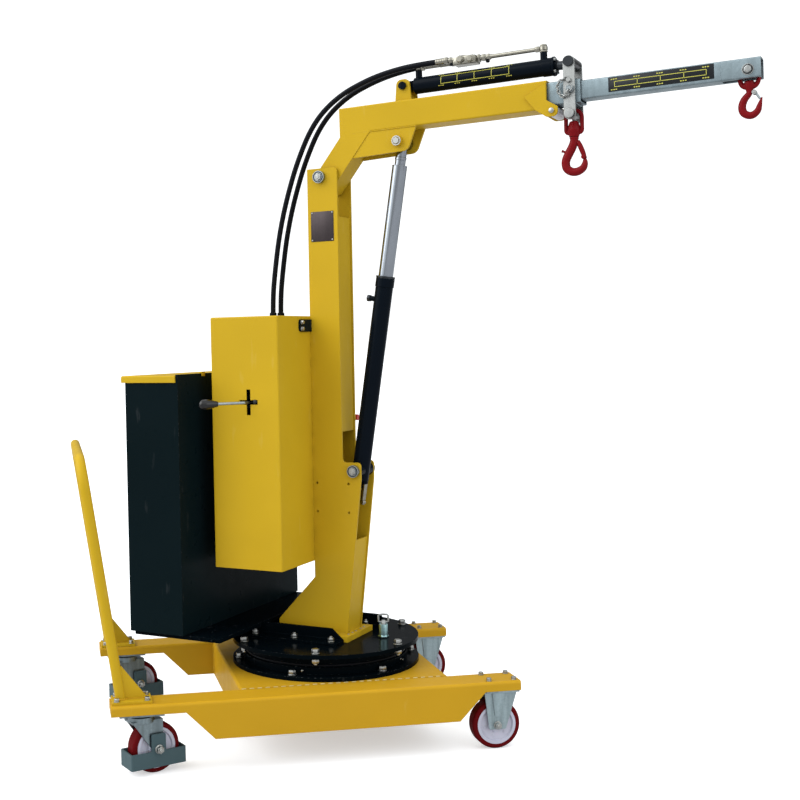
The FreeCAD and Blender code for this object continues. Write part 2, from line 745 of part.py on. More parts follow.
# mast: two cheeks on a base plate, a back plate, and front plates above and below an open window
MAST_FRONT = "(P.mast_back + P.mast_depth)"
MAST_TOP = "(P.pivot_z + P.mast_over)"
LEDGE = "(P.trunnion_z + P.ear_high)"
EAR_X = "(P.trunnion_x + P.ear_front)"
EAR_Z = "(P.trunnion_z - P.ear_low)"
SLANT = f"(({EAR_X} - P.mast_toe) / ({EAR_Z} - P.base_thick))"
INSIDE = f"(2 * ({MAST_HALF} - P.plate / 2))"
OPEN_Z = f"({MAST_TOP} - P.mast_open)"
CHEEK_IN = f"({MAST_HALF} - P.plate)"
mast = Node("mast", UPPER)
mast.box(("-P.base_rear", "P.rail_front + P.base_front"), ("-P.rail_half", "P.rail_half"),
         ("0", "P.base_thick"))
for number, sign in enumerate(SIGNS):
    mast.prism("xz", [
        ("P.mast_back", MAST_TOP),
        (MAST_FRONT, MAST_TOP, "P.ear_round"),
        (MAST_FRONT, LEDGE, "P.ear_round"),
        (EAR_X, LEDGE, "P.ear_round"),
        (EAR_X, EAR_Z),
        ("P.mast_toe", "P.base_thick"),
        ("-P.mast_heel", "P.base_thick"),
        ("-P.mast_heel", "P.base_thick + P.heel_low"),
        ("P.mast_back", "P.base_thick + P.heel_high"),
    ], "P.plate", f"{sign} * ({MAST_HALF} - P.plate / 2)")
    if number == 0:
        mast.prism("xz", [
            ("P.mast_back", "P.base_thick"),
            ("P.mast_back", OPEN_Z),
            ("P.mast_back + P.plate", OPEN_Z),
            ("P.mast_back + P.plate", "P.base_thick"),
        ], INSIDE)
panel_x = f"({MAST_FRONT} - P.panel_set)"
mast.prism("xz", [
    (f"{panel_x} - P.plate", "P.window_high"),
    (f"{panel_x} - P.plate", OPEN_Z),
    (panel_x, OPEN_Z),
    (panel_x, "P.window_high"),
], INSIDE)
toe_x = "(P.mast_toe - P.panel_set)"
toe_high = f"({toe_x} + {SLANT} * (P.window_low - P.base_thick))"
mast.prism("xz", [
    (f"{toe_x} - P.plate", "P.base_thick"),
    (f"{toe_high} - P.plate", "P.window_low"),
    (toe_high, "P.window_low"),
    (toe_x, "P.base_thick"),
], INSIDE)
for x in ("P.hole_x", "P.hole_x + P.hole_wide"):
    for z in ("P.hole_z", "P.hole_z + P.hole_tall"):
        mast.rod("y", "P.hole_radius", f"-{MAST_HALF} - 1", f"-{CHEEK_IN} + 1", (x, z), cut=True)
for at in (("P.pivot_x", "P.pivot_z"), ("P.trunnion_x", "P.trunnion_z")):
    for sign in SIGNS:
        mast.rod("y", "P.pin_radius", *mirrored(sign, f"{CHEEK_IN} - 1", f"{MAST_HALF} + 1"), at, cut=True)

for label, x, z in (("boom_pin", "P.pivot_x", "P.pivot_z"), ("trunnion_pin", "P.trunnion_x", "P.trunnion_z")):
    pin = Node(label, UPPER)
    pin.rod("y", "P.pin_radius", f"-{MAST_HALF} - 1", f"{MAST_HALF} + 1", (x, z))
    for sign in SIGNS:
        pin.rod("y", "P.head_radius", *mirrored(sign, MAST_HALF, f"{MAST_HALF} + P.head_high"), (x, z))

# ballast tower on the rails: a steel shell with a raised front panel, its lid and the ballast in its foot
TOWER_LOW = "P.rail_height"
TOWER_TOP = f"({TOWER_LOW} + P.tower_high)"
tower = Node("tower", UPPER)
tower.box(("-P.tower_rear", "-P.tower_front"), ("-P.tower_half", "P.tower_half"), (TOWER_LOW, TOWER_TOP))
tower.fillet("P.tower_fold", lambda edge, box: runs(edge, "z") and edge.BoundBox.XMax < box.XMin + 1)
tower.box(("-P.tower_front - P.panel_thick", "-P.tower_front"), ("-P.tower_half", "P.tower_half"),
          (f"{TOWER_TOP} - 1", f"{TOWER_TOP} + P.lid_depth + P.panel_over"))
tower.box(
    ("-P.tower_rear + P.tower_wall", "-P.tower_front - P.tower_wall"),
    ("-P.tower_half + P.tower_wall", "P.tower_half - P.tower_wall"),
    (f"{TOWER_LOW} + P.tower_wall", f"{TOWER_TOP} - P.tower_wall"),
    cut=True,
)
lid = Node("tower_lid", UPPER)
lid.box(("-P.tower_rear - P.lid_rear", "-P.tower_front - P.panel_thick"),
        ("-P.tower_half - P.lid_side", "P.tower_half + P.lid_side"),
        (TOWER_TOP, f"{TOWER_TOP} + P.lid_depth"))
lid.fillet("P.tower_fold", at_top)
ballast = Node("counterweight", UPPER)
BALLAST_SET = "(P.tower_wall + P.tower_room)"
ballast.box((f"-P.tower_rear + {BALLAST_SET}", f"-P.tower_front - {BALLAST_SET}"),
            (f"-P.tower_half + {BALLAST_SET}", f"P.tower_half - {BALLAST_SET}"),
            (f"{TOWER_LOW} + P.tower_wall", f"{TOWER_LOW} + P.tower_wall + P.ballast_high"))

# power-pack cabinet: a folded shell with a cross-shaped gate for the lever, hung on the mast
CABINET_TOP = "(P.cabinet_low + P.cabinet_high)"
cabinet = Node("cabinet", UPPER)
cabinet.box(("-P.cabinet_back", "P.mast_back"), ("-P.cabinet_half", "P.cabinet_half"),
            ("P.cabinet_low", CABINET_TOP))
cabinet.fillet("P.cabinet_fold", lambda edge, box: runs(edge, "z") or at_top(edge, box))
cabinet.box(
    ("-P.cabinet_back + P.cabinet_skin", "P.mast_back - P.cabinet_skin"),
    ("-P.cabinet_half + P.cabinet_skin", "P.cabinet_half - P.cabinet_skin"),
    ("P.cabinet_low + P.cabinet_skin", f"{CABINET_TOP} - P.cabinet_skin"),
    cut=True,
)
FACE = ("-P.cabinet_half - 1", "-P.cabinet_half + P.cabinet_skin + 1")
for wide, tall in (("P.gate_slot", "P.gate_tall"), ("P.gate_wide", "P.gate_slot")):
    cabinet.box((f"P.lever_x - {wide} / 2", f"P.lever_x + {wide} / 2"), FACE,
                (f"P.lever_z - {tall} / 2", f"P.lever_z + {tall} / 2"), cut=True)
for side, sign in SIDES:
    hanger = Node(f"cabinet_hanger_{side}", UPPER)
    foot = f"{sign} * {MAST_HALF}"
    end = f"{sign} * ({MAST_HALF} + P.hanger_long)"
    hanger_top = f"({CABINET_TOP} - P.hanger_drop)"
    hanger.prism("yz", [
        (foot, hanger_top),
        (foot, f"{hanger_top} - P.hanger_tall"),
        (end, f"{hanger_top} - P.hanger_tall", "P.hanger_round"),
        (end, hanger_top, "P.hanger_round"),
    ], "P.hanger_plate", "P.mast_back + P.hanger_plate / 2")
button = Node("stop_button", UPPER)
button_at = ("P.cabinet_half - P.button_inset", "P.button_z")
button.rod("x", "P.button_stem", "P.mast_back", "P.mast_back + P.button_high", button_at)
button.rod("x", "P.button_radius", "P.mast_back + P.button_high", "P.mast_back + 2 * P.button_high", button_at)

# control lever: a valve inside the cabinet face, a yoke that turns in it, and a cranked rod with a knob
GATE_Y = "(-P.cabinet_half + P.cabinet_skin)"
YOKE_REACH = "(P.valve_tall - P.bearing_gap)"
VALVE_Y = f"({GATE_Y} + 2 * P.lever_deep)"
valve = Node("lever_valve", UPPER)
valve.box(("P.lever_x - P.valve_half", "P.lever_x + P.valve_half"), (VALVE_Y, f"{VALVE_Y} + P.valve_deep"),
          ("P.lever_z - P.valve_tall", "P.lever_z + P.valve_tall"))
for sign in SIGNS:
    low, high = mirrored(sign, "P.valve_tall", "P.valve_tall + P.valve_arm")
    valve.box(("P.lever_x - P.yoke_tall", "P.lever_x + P.yoke_tall"), (GATE_Y, f"{VALVE_Y} + P.valve_arm"),
              (f"P.lever_z + {low}", f"P.lever_z + {high}"))
    low, high = mirrored(sign, "P.valve_tall - 1", "P.valve_tall + P.valve_arm")
    valve.box(("P.lever_x - P.yoke_tall", "P.lever_x + P.yoke_tall"), (VALVE_Y, f"{VALVE_Y} + P.valve_arm"),
              (f"P.lever_z + {low}", f"P.lever_z + {high}"))
LEVER = UPPER + " * " + place("P.lever_x", f"{GATE_Y} + P.lever_deep", "P.lever_z")
yoke = Node("lever_yoke", LEVER)
YOKE_IN = "(P.yoke_half - P.yoke_wall)"
yoke.box(("-P.yoke_half", "P.yoke_half"), (f"-{YOKE_IN}", YOKE_IN), ("-P.yoke_tall", "P.yoke_tall"))
yoke.box((f"-{YOKE_IN}", YOKE_IN), (f"-{YOKE_IN} - 1", f"{YOKE_IN} - P.yoke_wall / 2"),
         ("-P.yoke_tall + P.yoke_wall", "P.yoke_tall - P.yoke_wall"), cut=True)
for sign in SIGNS:
    yoke.rod("z", "P.lever_rod", *mirrored(sign, "P.yoke_tall - 1", YOKE_REACH), ("0", "0"))
yoke.rod("x", "P.lever_rod + P.pin_gap", "-P.yoke_half - 1", "P.yoke_half + 1", ("0", "0"), cut=True)
lever = Node("control_lever", LEVER)
lever.rod("x", "P.lever_rod", "-P.yoke_half + P.bearing_gap", "P.yoke_half - P.bearing_gap", ("0", "0"))
lever.rod("y", "P.lever_rod - 1", "-P.lever_reach", "0", ("0", "0"))
lever.ball("P.lever_rod", "0", "-P.lever_reach", "0")
CRANK = place("0", "-P.lever_reach", "0", (0, 0, 1), "-P.lever_crank")
CRANK = CRANK + " * " + place(axis=(1, 0, 0), angle="90 - P.lever_rise")
lever.bar("P.lever_rod", "P.lever_long", CRANK)
knob = Node("lever_knob", f"{LEVER} * {CRANK} * {place('0', '0', 'P.lever_long')}")
knob.lathe("xz", [
    ("0", "0"),
    ("P.knob_radius / 2", "0", "P.lever_rod / 2"),
    ("P.knob_radius", "0.6 * P.knob_long", "P.knob_long / 3"),
    ("P.knob_radius * 0.9", "P.knob_long", "P.knob_radius * 0.8"),
    ("0", "P.knob_long"),
])

# slew lock: a sprung index pin with a pull handle, in a tube on the upper disc
LOCK = UPPER + " * " + place("P.lock_x", "P.lock_y")
lock = Node("lock_tube", LOCK)
lock.rod("z", "P.lock_radius", "0", "P.lock_high", ("0", "0"))
lock.rod("z", "P.lock_pin + P.pin_gap", "P.lock_floor", "P.lock_high + 1", ("0", "0"), cut=True)
pin = Node("lock_pin", LOCK)
pin.rod("z", "P.lock_pin", "P.pin_rise", "P.pull_low + P.pull_bar - 1", ("0", "0"))
for sign in SIGNS:
    pin.rod("z", "P.pull_bar", "P.pull_low", "P.pull_high", ("0", f"{sign} * P.pull_half"))
for height in ("P.pull_low", "P.pull_high"):
    pin.rod("y", "P.pull_bar", "-P.pull_half", "P.pull_half", ("0", height))
    for sign in SIGNS:
        pin.ball("P.pull_bar", "0", f"{sign} * P.pull_half", height)

# boom: a square tube with a knee, cylinder cheeks, a rear lug and front roller lugs
BOOM_LOW = f"(P.boom_axis - {BOOM_HALF})"
BOOM_HIGH = f"(P.boom_axis + {BOOM_HALF})"
CHEEK_OUT = f"({BOOM_HALF} - P.cheek_set)"
EYE_HALF = f"({CHEEK_OUT} - P.plate - P.slide_gap)"
ROLLER_X = "(P.boom_front + P.roller_x)"
ROLLER_Z = f"(P.boom_axis - {JIB_HALF} - P.slide_gap - P.roller_radius)"


def long_edges(edge, box):
    """True for the edges along a tube."""
    return runs(edge, "x")


def tube(node, rear, front, half):
    """A square bar along X with rounded edges, on the axis of the boom."""
    node.box((rear, front), (f"-{half}", half), (f"P.boom_axis - {half}", f"P.boom_axis + {half}"))
    node.fillet("P.tube_round", long_edges)


def bore(node, rear, front, half):
    """A square hole along X, on the axis of the boom."""
    node.box((rear, front), (f"-({half})", half),
             (f"P.boom_axis - ({half})", f"P.boom_axis + {half}"), cut=True)


boom = Node("boom", BOOM)
tube(boom, "P.boom_rear", "P.boom_front", BOOM_HALF)
boom.prism("xz", [
    ("-P.knee_heel_x", "-P.knee_heel_z", "P.knee_round"),
    ("P.knee_toe_x", "-P.knee_toe_z", "P.knee_round"),
    ("P.knee_front", f"{BOOM_LOW} + P.tube_wall"),
    ("P.boom_rear", f"{BOOM_LOW} + P.tube_wall"),
    ("P.boom_rear", f"{BOOM_LOW} - P.knee_step"),
], f"2 * {BOOM_HALF}")
for sign in SIGNS:
    boom.prism("xz", [
        ("P.cheek_rear", "P.cheek_low"),
        ("P.pin_x + P.cheek_reach", "P.pin_z - P.cheek_reach", "P.cheek_round"),
        ("P.pin_x + P.cheek_front", f"{BOOM_LOW} + P.tube_wall"),
        ("P.cheek_rear", f"{BOOM_LOW} + P.tube_wall"),
    ], "P.plate", f"{sign} * ({CHEEK_OUT} - P.plate / 2)")
    stub = mirrored(sign, f"{CHEEK_OUT} - P.plate / 2", f"{BOOM_HALF} + P.stub_high")
    boom.rod("y", "P.stub_radius", *stub, ("P.pin_x", "P.pin_z"))
    boom.prism("xz", [
        ("P.lug_x - P.lug_foot", f"{BOOM_HIGH} - P.tube_wall"),
        ("P.lug_x + P.lug_foot", f"{BOOM_HIGH} - P.tube_wall"),
        ("P.lug_x + P.lug_half", "P.ext_axis + P.lug_half", "0.8 * P.lug_half"),
        ("P.lug_x - P.lug_half", "P.ext_axis + P.lug_half", "0.8 * P.lug_half"),
    ], "P.plate", f"{sign} * (P.lug_in + P.plate / 2)")
    boom.prism("xz", [
        ("P.boom_front - P.front_lug_rear", "P.boom_axis"),
        ("P.boom_front", "P.boom_axis + P.front_lug_high"),
        ("P.boom_front", "P.boom_axis - P.front_lug_high / 2"),
        (f"{ROLLER_X} + P.roller_end", f"{BOOM_LOW} + P.tube_wall"),
        (f"{ROLLER_X} + P.roller_end", f"{ROLLER_Z} - P.roller_end", "0.9 * P.roller_end"),
        (f"{ROLLER_X} - P.roller_end", f"{ROLLER_Z} - P.roller_end", "0.9 * P.roller_end"),
        ("P.boom_front - P.front_lug_high", BOOM_LOW),
    ], "P.front_lug", f"{sign} * ({BOOM_HALF} + P.front_lug / 2)")
bore(boom, "P.boom_rear + P.plate", "P.boom_front + 1", f"{JIB_HALF} + P.slide_gap")
LUG_OUT = "(P.lug_in + P.plate)"
ROLLER_OUT = f"({BOOM_HALF} + P.front_lug)"
for radius, out, at in (
    ("P.pin_radius", BOOM_HALF, ("0", "0")),
    ("P.ext_pin", LUG_OUT, ("P.lug_x", "P.ext_axis")),
    ("P.roller_pin", ROLLER_OUT, (ROLLER_X, ROLLER_Z)),
):
    boom.rod("y", f"{radius} + P.pin_gap", f"-{out} - 1", f"{out} + 1", at, cut=True)
roller = Node("jib_roller", BOOM)
ROLLER_HALF = f"({BOOM_HALF} - P.slide_gap)"
ROLLER_END = f"({ROLLER_OUT} + P.roller_pin)"
roller.rod("y", "P.roller_radius", f"-{ROLLER_HALF}", ROLLER_HALF, (ROLLER_X, ROLLER_Z))
roller.rod("y", "P.roller_pin", f"-{ROLLER_END}", ROLLER_END, (ROLLER_X, ROLLER_Z))

# lift cylinder: a barrel with a cross bush, a gland and a side port, and a rod with an eye
LIFT_ROD = "(P.lift_radius - P.lift_wall)"
barrel = Node("lift_barrel", LIFT)
barrel.rod("z", "P.lift_radius", "-P.lift_foot", "P.lift_length", ("0", "0"))
barrel.rod("z", "P.lift_radius + P.gland_over", "P.lift_length - P.gland_long", "P.lift_length", ("0", "0"))
NECK_LOW = "(-P.lift_foot - P.foot_neck_long)"
barrel.rod("z", "P.foot_neck", NECK_LOW, "-P.lift_foot + 1", ("0", "0"))
barrel.rod("z", "P.port_radius", "-P.lift_foot - P.drain_long", f"{NECK_LOW} + 1", ("0", "0"))
barrel.rod("y", "P.bush_radius", f"-{CHEEK_IN} + P.slide_gap", f"{CHEEK_IN} - P.slide_gap", ("0", "0"))
barrel.rod("x", "P.port_radius", "-P.lift_radius - P.port_long", f"-{LIFT_ROD}",
           ("0", "P.lift_length - P.port_drop"))
barrel.rod("z", f"{LIFT_ROD} + P.pin_gap", "P.lift_floor", "P.lift_length + 1", ("0", "0"), cut=True)
barrel.rod("y", "P.pin_radius + P.pin_gap", f"-{CHEEK_IN}", CHEEK_IN, ("0", "0"), cut=True)
rod = Node("lift_rod", LIFT)
rod.rod("z", LIFT_ROD, "P.rod_start", f"{LIFT_SPAN} - P.neck_long", ("0", "0"))
rod.rod("z", "P.neck_radius", f"{LIFT_SPAN} - P.neck_long", f"{LIFT_SPAN} - P.eye_radius / 2", ("0", "0"))
rod.rod("y", "P.eye_radius", f"-{EYE_HALF}", EYE_HALF, ("0", LIFT_SPAN))

# extension cylinder on the boom: barrel with ports, hung on a pin between the rear lugs
EXT_TOP = "(P.ext_axis + P.ext_radius)"
PORT_Z = f"({EXT_TOP} + P.ext_port_high)"
EXT_START = "(P.lug_x + P.ext_start)"
REAR_PORT = "(P.lug_x + P.rear_port)"
FRONT_PORT = "(P.boom_front - P.front_port)"
EXT_BORE = "(P.lug_x + P.ext_bore)"
ext = Node("extension_barrel", BOOM)
EXT_END = "(P.boom_front + P.ext_over)"
ext.rod("x", "P.ext_radius", EXT_START, EXT_END, ("0", "P.ext_axis"))
ext.rod("x", "P.ext_radius + P.gland_over", f"{EXT_END} - P.gland_long", EXT_END, ("0", "P.ext_axis"))
ext.box(("P.lug_x", f"{EXT_START} + 1"), ("-P.ext_eye", "P.ext_eye"),
        ("P.ext_axis - P.ext_eye + 1", "P.ext_axis + P.ext_eye - 1"))
ext.rod("y", "P.ext_eye", "-P.lug_in + P.slide_gap", "P.lug_in - P.slide_gap", ("P.lug_x", "P.ext_axis"))
ext.rod("y", "P.ext_pin", f"-{LUG_OUT} - 1", f"{LUG_OUT} + 1", ("P.lug_x", "P.ext_axis"))
for sign in SIGNS:
    head = mirrored(sign, LUG_OUT, f"{LUG_OUT} + P.ext_head_high")
    ext.rod("y", "P.ext_head", *head, ("P.lug_x", "P.ext_axis"))
for port in (REAR_PORT, FRONT_PORT):
    ext.rod("z", "P.ext_port", "P.ext_axis", PORT_Z, (port, "0"))
ext.rod("x", "P.ext_rod + P.pin_gap", EXT_BORE, f"{EXT_END} + 1", ("0", "P.ext_axis"), cut=True)

# valve block above the cylinder, with a pipe to each port
BLOCK_LOW = f"({EXT_TOP} + P.block_rise)"
PIPE_Z = f"({PORT_Z} + P.pipe_rise)"
FEED_Z = f"({PORT_Z} + P.pipe_rise / 2)"
plumbing = Node("valve_block", BOOM)
plumbing.box(("P.block_x", "P.block_x + P.block_long"), ("-P.block_half", "P.block_half"),
             (BLOCK_LOW, f"{BLOCK_LOW} + P.block_tall"))
plumbing.rod("x", "P.pipe_radius", "P.block_x + P.block_long - 1", FRONT_PORT, ("0", PIPE_Z))
plumbing.rod("z", "P.ext_port", PORT_Z, f"{PIPE_Z} + P.pipe_rise", (FRONT_PORT, "0"))
plumbing.rod("x", "P.pipe_radius - 1", REAR_PORT, "P.block_x + 1", ("0", FEED_Z))
plumbing.rod("z", "P.ext_port - 3", PORT_Z, PIPE_Z, (REAR_PORT, "0"))

# jib: a tube inside the boom, moved by the extension rod through a bracket at its front
BRACKET_X = "(P.jib_front - P.bracket_set)"
BRACKET_OUT = f"({JIB_HALF} + P.bracket_plate)"
HOOK_Z = "(P.boom_axis - P.hook_drop)"
jib = Node("jib_tube", BOOM)
tube(jib, "P.jib_rear", "P.jib_front", JIB_HALF)
bore(jib, "P.jib_rear - 1", "P.jib_front + 1", f"{INNER_HALF} + P.slide_gap")
bracket = Node("jib_bracket", BOOM)
HOOK_PIN_END = f"({BRACKET_OUT} + P.hook_pin)"
bracket.rod("y", "P.hook_pin", f"-{HOOK_PIN_END}", HOOK_PIN_END, (BRACKET_X, HOOK_Z))
for sign in SIGNS:
    span = mirrored(sign, JIB_HALF, BRACKET_OUT)
    for height in (HOOK_Z, "P.ext_axis"):
        bracket.rod("y", "P.bracket_half", *span, (BRACKET_X, height))
    bracket.box((f"{BRACKET_X} - P.bracket_half", f"{BRACKET_X} + P.bracket_half"), span,
                (HOOK_Z, "P.ext_axis"))
bracket.rod("y", "P.bracket_pin + P.pin_gap", f"-{BRACKET_OUT} - 1", f"{BRACKET_OUT} + 1",
            (BRACKET_X, "P.ext_axis"), cut=True)
ext_rod = Node("extension_rod", BOOM)
ext_rod.rod("x", "P.ext_rod", f"{EXT_BORE} + P.plate", BRACKET_X, ("0", "P.ext_axis"))
ext_rod.rod("y", "P.bracket_eye", f"-{JIB_HALF} + P.slide_gap", f"{JIB_HALF} - P.slide_gap",
            (BRACKET_X, "P.ext_axis"))
ext_rod.rod("y", "P.bracket_pin", f"-{BRACKET_OUT} - 1", f"{BRACKET_OUT} + 1", (BRACKET_X, "P.ext_axis"))
for sign in SIGNS:
    ext_rod.rod("y", "P.bracket_head", *mirrored(sign, BRACKET_OUT, f"{BRACKET_OUT} + P.bracket_plate"),
                (BRACKET_X, "P.ext_axis"))
catch = Node("jib_lock_pin", BOOM)
catch_at = (f"{BRACKET_X} + P.catch_radius / 2", "P.boom_axis + P.catch_rise")
catch.rod("y", "P.catch_radius", f"-{BRACKET_OUT} - P.bracket_head", f"-{BRACKET_OUT}", catch_at)
catch.rod("y", "P.catch_collar", f"-{BRACKET_OUT} - P.catch_radius", f"-{BRACKET_OUT}", catch_at)

# inner tube, slotted under its tip for the hook, with a flat chart plate on its near side
TIP_X = "(P.inner_tip - P.tip_set)"
inner = Node("inner_tube", BOOM)
tube(inner, "P.inner_rear", "P.inner_tip", INNER_HALF)
bore(inner, "P.inner_rear - 1", "P.inner_tip + 1", f"{INNER_HALF} - P.tube_wall")
inner.box(("P.inner_tip - P.slot_long", "P.inner_tip + 1"), ("-P.slot_half", "P.slot_half"),
          (f"P.boom_axis - {INNER_HALF} - 1", f"P.boom_axis - {INNER_HALF} + P.tube_wall + 1"), cut=True)
BOLT_END = f"({INNER_HALF} + P.tip_bolt)"
inner.rod("y", "P.tip_bolt", f"-{BOLT_END}", BOLT_END, (TIP_X, "P.boom_axis"))
chart = Node("chart_plate", BOOM)
chart.box(("P.chart_rear", "P.chart_rear + P.chart_long"),
          (f"-{INNER_HALF} - P.chart_thick", f"-{INNER_HALF}"),
          ("P.boom_axis - P.chart_half", "P.boom_axis + P.chart_half"))


def arc(x, z, start):
    """Frame of a torus in the local XZ plane whose sweep starts at an angle from +X towards +Z."""
    return place(x, "0", z, (1, 0, 0), "90") + " * " + place(angle=start)


def slant(x, z, angle):
    """Frame whose Z leans in the local XZ plane, from straight up towards +X."""
    return place(x, "0", z, (0, 1, 0), angle)


def hinge_ears(node, x, z, half):
    """Two small ears with a pin across them, for a latch of a given half width."""
    middle = f"({half} + P.bearing_gap + P.hinge_radius / 2)"
    for sign in SIGNS:
        node.prism("xz", [
            (f"{x} - 4 * P.hinge_radius", f"{z} - 3 * P.hinge_radius"),
            (f"{x} + 2 * P.hinge_radius", f"{z} - 2 * P.hinge_radius", "P.hinge_radius"),
            (f"{x} + 2 * P.hinge_radius", f"{z} + 2 * P.hinge_radius", "P.hinge_radius"),
            (f"{x} - 4 * P.hinge_radius", f"{z} + 2 * P.hinge_radius"),
        ], "P.hinge_radius", f"{sign} * {middle}")
    node.rod("y", "P.hinge_radius", f"-{middle}", middle, (x, z))


def bow(node, half, wire, corner, drop, pin):
    """Half a ring hung on a pin, with two legs, rounded corners and a cross bar."""
    top = f"({pin} + P.slide_gap - {half} + {wire})"
    flat = f"({half} - {corner})"
    leg = f"({corner} - {drop})"
    node.ring(half, wire, arc("0", top, "0"), "180")
    for sign, start in (("-1", "180"), ("1", "270")):
        node.rod("z", wire, leg, top, (f"{sign} * {half}", "0"))
        node.ring(corner, wire, arc(f"{sign} * {flat}", leg, start), "90")
    node.rod("x", wire, f"-{flat}", flat, ("0", f"-{drop}"))


# tip hook, hanging by a bow from the bolt in the inner tube, with a latch across its mouth
TIP = BOOM + " * " + place(TIP_X, "0", "P.boom_axis", (0, 1, 0), "P.boom_tilt")
TIP_HINGE = ("P.tip_hinge_x", "-P.tip_hinge")
hook = Node("tip_hook", TIP)
bow(hook, "P.tip_half", "P.tip_wire", "P.tip_corner", "P.tip_cross", "P.tip_bolt")
hook.rod("z", "P.tip_hub", "-P.tip_hub_drop", "-P.tip_cross + 2 * P.tip_wire", ("0", "0"))
hook.rod("z", "P.tip_shank", "-P.tip_drop + P.tip_bowl - P.tip_bar / 2", "-P.tip_cross", ("0", "0"))
hook.ring("P.tip_bowl", "P.tip_bar", arc("0", "-P.tip_drop", "90 + P.mouth_start"),
          "270 + P.mouth_end - P.mouth_start")
hook.ball("P.tip_bar", "P.tip_bowl * cos(P.mouth_end)", "0", "-P.tip_drop + P.tip_bowl * sin(P.mouth_end)")
hinge_ears(hook, *TIP_HINGE, "P.latch_half")
latch = Node("tip_latch", TIP)
latch.rod("y", "P.hinge_radius + 2", "-P.latch_half", "P.latch_half", TIP_HINGE)
latch.bar("P.latch_bar", "P.latch_long", slant(*TIP_HINGE, "180 - P.latch_lean"))
latch.rod("y", "P.hinge_radius + P.pin_gap", "-P.latch_half - 1", "P.latch_half + 1", TIP_HINGE, cut=True)

# swivel hook under the jib bracket: a link on the pin, a swivel neck, a bowl and a locking gate
MID = BOOM + " * " + place(BRACKET_X, "0", HOOK_Z, (0, 1, 0), "P.boom_tilt")
link = Node("hook_link", MID)
bow(link, "P.link_half", "P.link_wire", "P.link_corner", "P.link_drop", "P.hook_pin")
link.rod("z", "P.link_hub", "-P.hub_drop", "-P.link_drop + 2 * P.link_wire", ("0", "0"))
swivel_hook = Node("swivel_hook", MID)
GATE_HINGE = ("P.gate_hinge_x", "-P.gate_hinge")
swivel_hook.rod("z", "P.hook_neck", "-P.neck_drop", "-P.hub_drop - P.bearing_gap", ("0", "0"))
shoulder = slant("-P.hook_neck / 3", "-P.neck_drop + P.hook_neck / 2", "180 + P.shoulder_lean")
swivel_hook.bar("P.hook_bar - 1", "P.shoulder_long", shoulder)
swivel_hook.ring("P.hook_bowl", "P.hook_bar", arc("0", "-P.bowl_drop", "180 - P.bowl_start"),
                 "180 + P.bowl_start + P.bowl_end")
swivel_hook.ball("P.hook_bar", "P.hook_bowl * cos(P.bowl_end)", "0",
                 "-P.bowl_drop + P.hook_bowl * sin(P.bowl_end)")
middle = "(P.gate_bar + P.bearing_gap + P.hinge_radius / 2)"
for sign in SIGNS:
    swivel_hook.prism("xz", [
        ("P.gate_hinge_x - 3 * P.hinge_radius", "-P.bowl_drop"),
        ("P.gate_hinge_x + 3 * P.hinge_radius", "-P.bowl_drop"),
        ("P.gate_hinge_x + 2 * P.hinge_radius", "-P.gate_hinge + 2 * P.hinge_radius", "P.hinge_radius"),
        ("P.gate_hinge_x - 2 * P.hinge_radius", "-P.gate_hinge + 2 * P.hinge_radius", "P.hinge_radius"),
    ], "P.hinge_radius", f"{sign} * {middle}")
swivel_hook.rod("y", "P.hinge_radius", f"-{middle}", middle, GATE_HINGE)
gate = Node("hook_gate", MID)
GATE_HALF = "(P.gate_bar + P.bearing_gap / 2)"
gate.rod("y", "2 * P.hinge_radius", f"-{GATE_HALF}", GATE_HALF, GATE_HINGE)
gate.bar("P.gate_bar", "P.gate_long", slant(*GATE_HINGE, "-P.gate_lean"))
gate.rod("y", "P.hinge_radius + P.pin_gap", "-P.gate_bar - 1", "P.gate_bar + 1", GATE_HINGE, cut=True)

# hoses from the cabinet top to the valve block: runs joined by arcs, either side of the middle plane
ARC_SHARE = 0.45
HOSE_LOW = [(0, 0), (0, 69), (12, 169), (31, 289), (62, 411)]
HOSES = {
    "hose_a": (-18, -172, [
        (-104.4, 71.2), (-38.4, 197.2), (53.6, 275.2), (173.6, 322.2), (285.6, 343.2),
        (387.6, 348.2), (456.5, 348.2),
    ]),
    "hose_b": (18, -160, [
        (-92.4, 71.2), (-26.4, 197.2), (65.6, 275.2), (179.6, 320.2), (287.6, 342.2),
        (387.6, 348.2), (456.5, 348.2),
    ]),
}
hose_foot = cells.get("cabinet_low") + cells.get("cabinet_high")


def route(points):
    """Edges along a chain of points, with the largest arcs that its runs leave room for."""
    edges = []
    radii = []
    last = points[0]
    for before, corner, after in zip(points, points[1:], points[2:]):
        into = (corner - before).normalize()
        out = (after - corner).normalize()
        half_turn = into.getAngle(out) / 2
        reach = ARC_SHARE * min(corner.distanceToPoint(before), corner.distanceToPoint(after))
        radius = reach / math.tan(half_turn)
        start = corner - into * reach
        end = corner + out * reach
        inward = (out - into).normalize()
        middle = corner + inward * (radius / math.cos(half_turn) - radius)
        edges += [Part.LineSegment(last, start).toShape(), Part.Arc(start, middle, end).toShape()]
        radii.append(round(radius))
        last = end
    edges.append(Part.LineSegment(last, points[-1]).toShape())
    return edges, radii


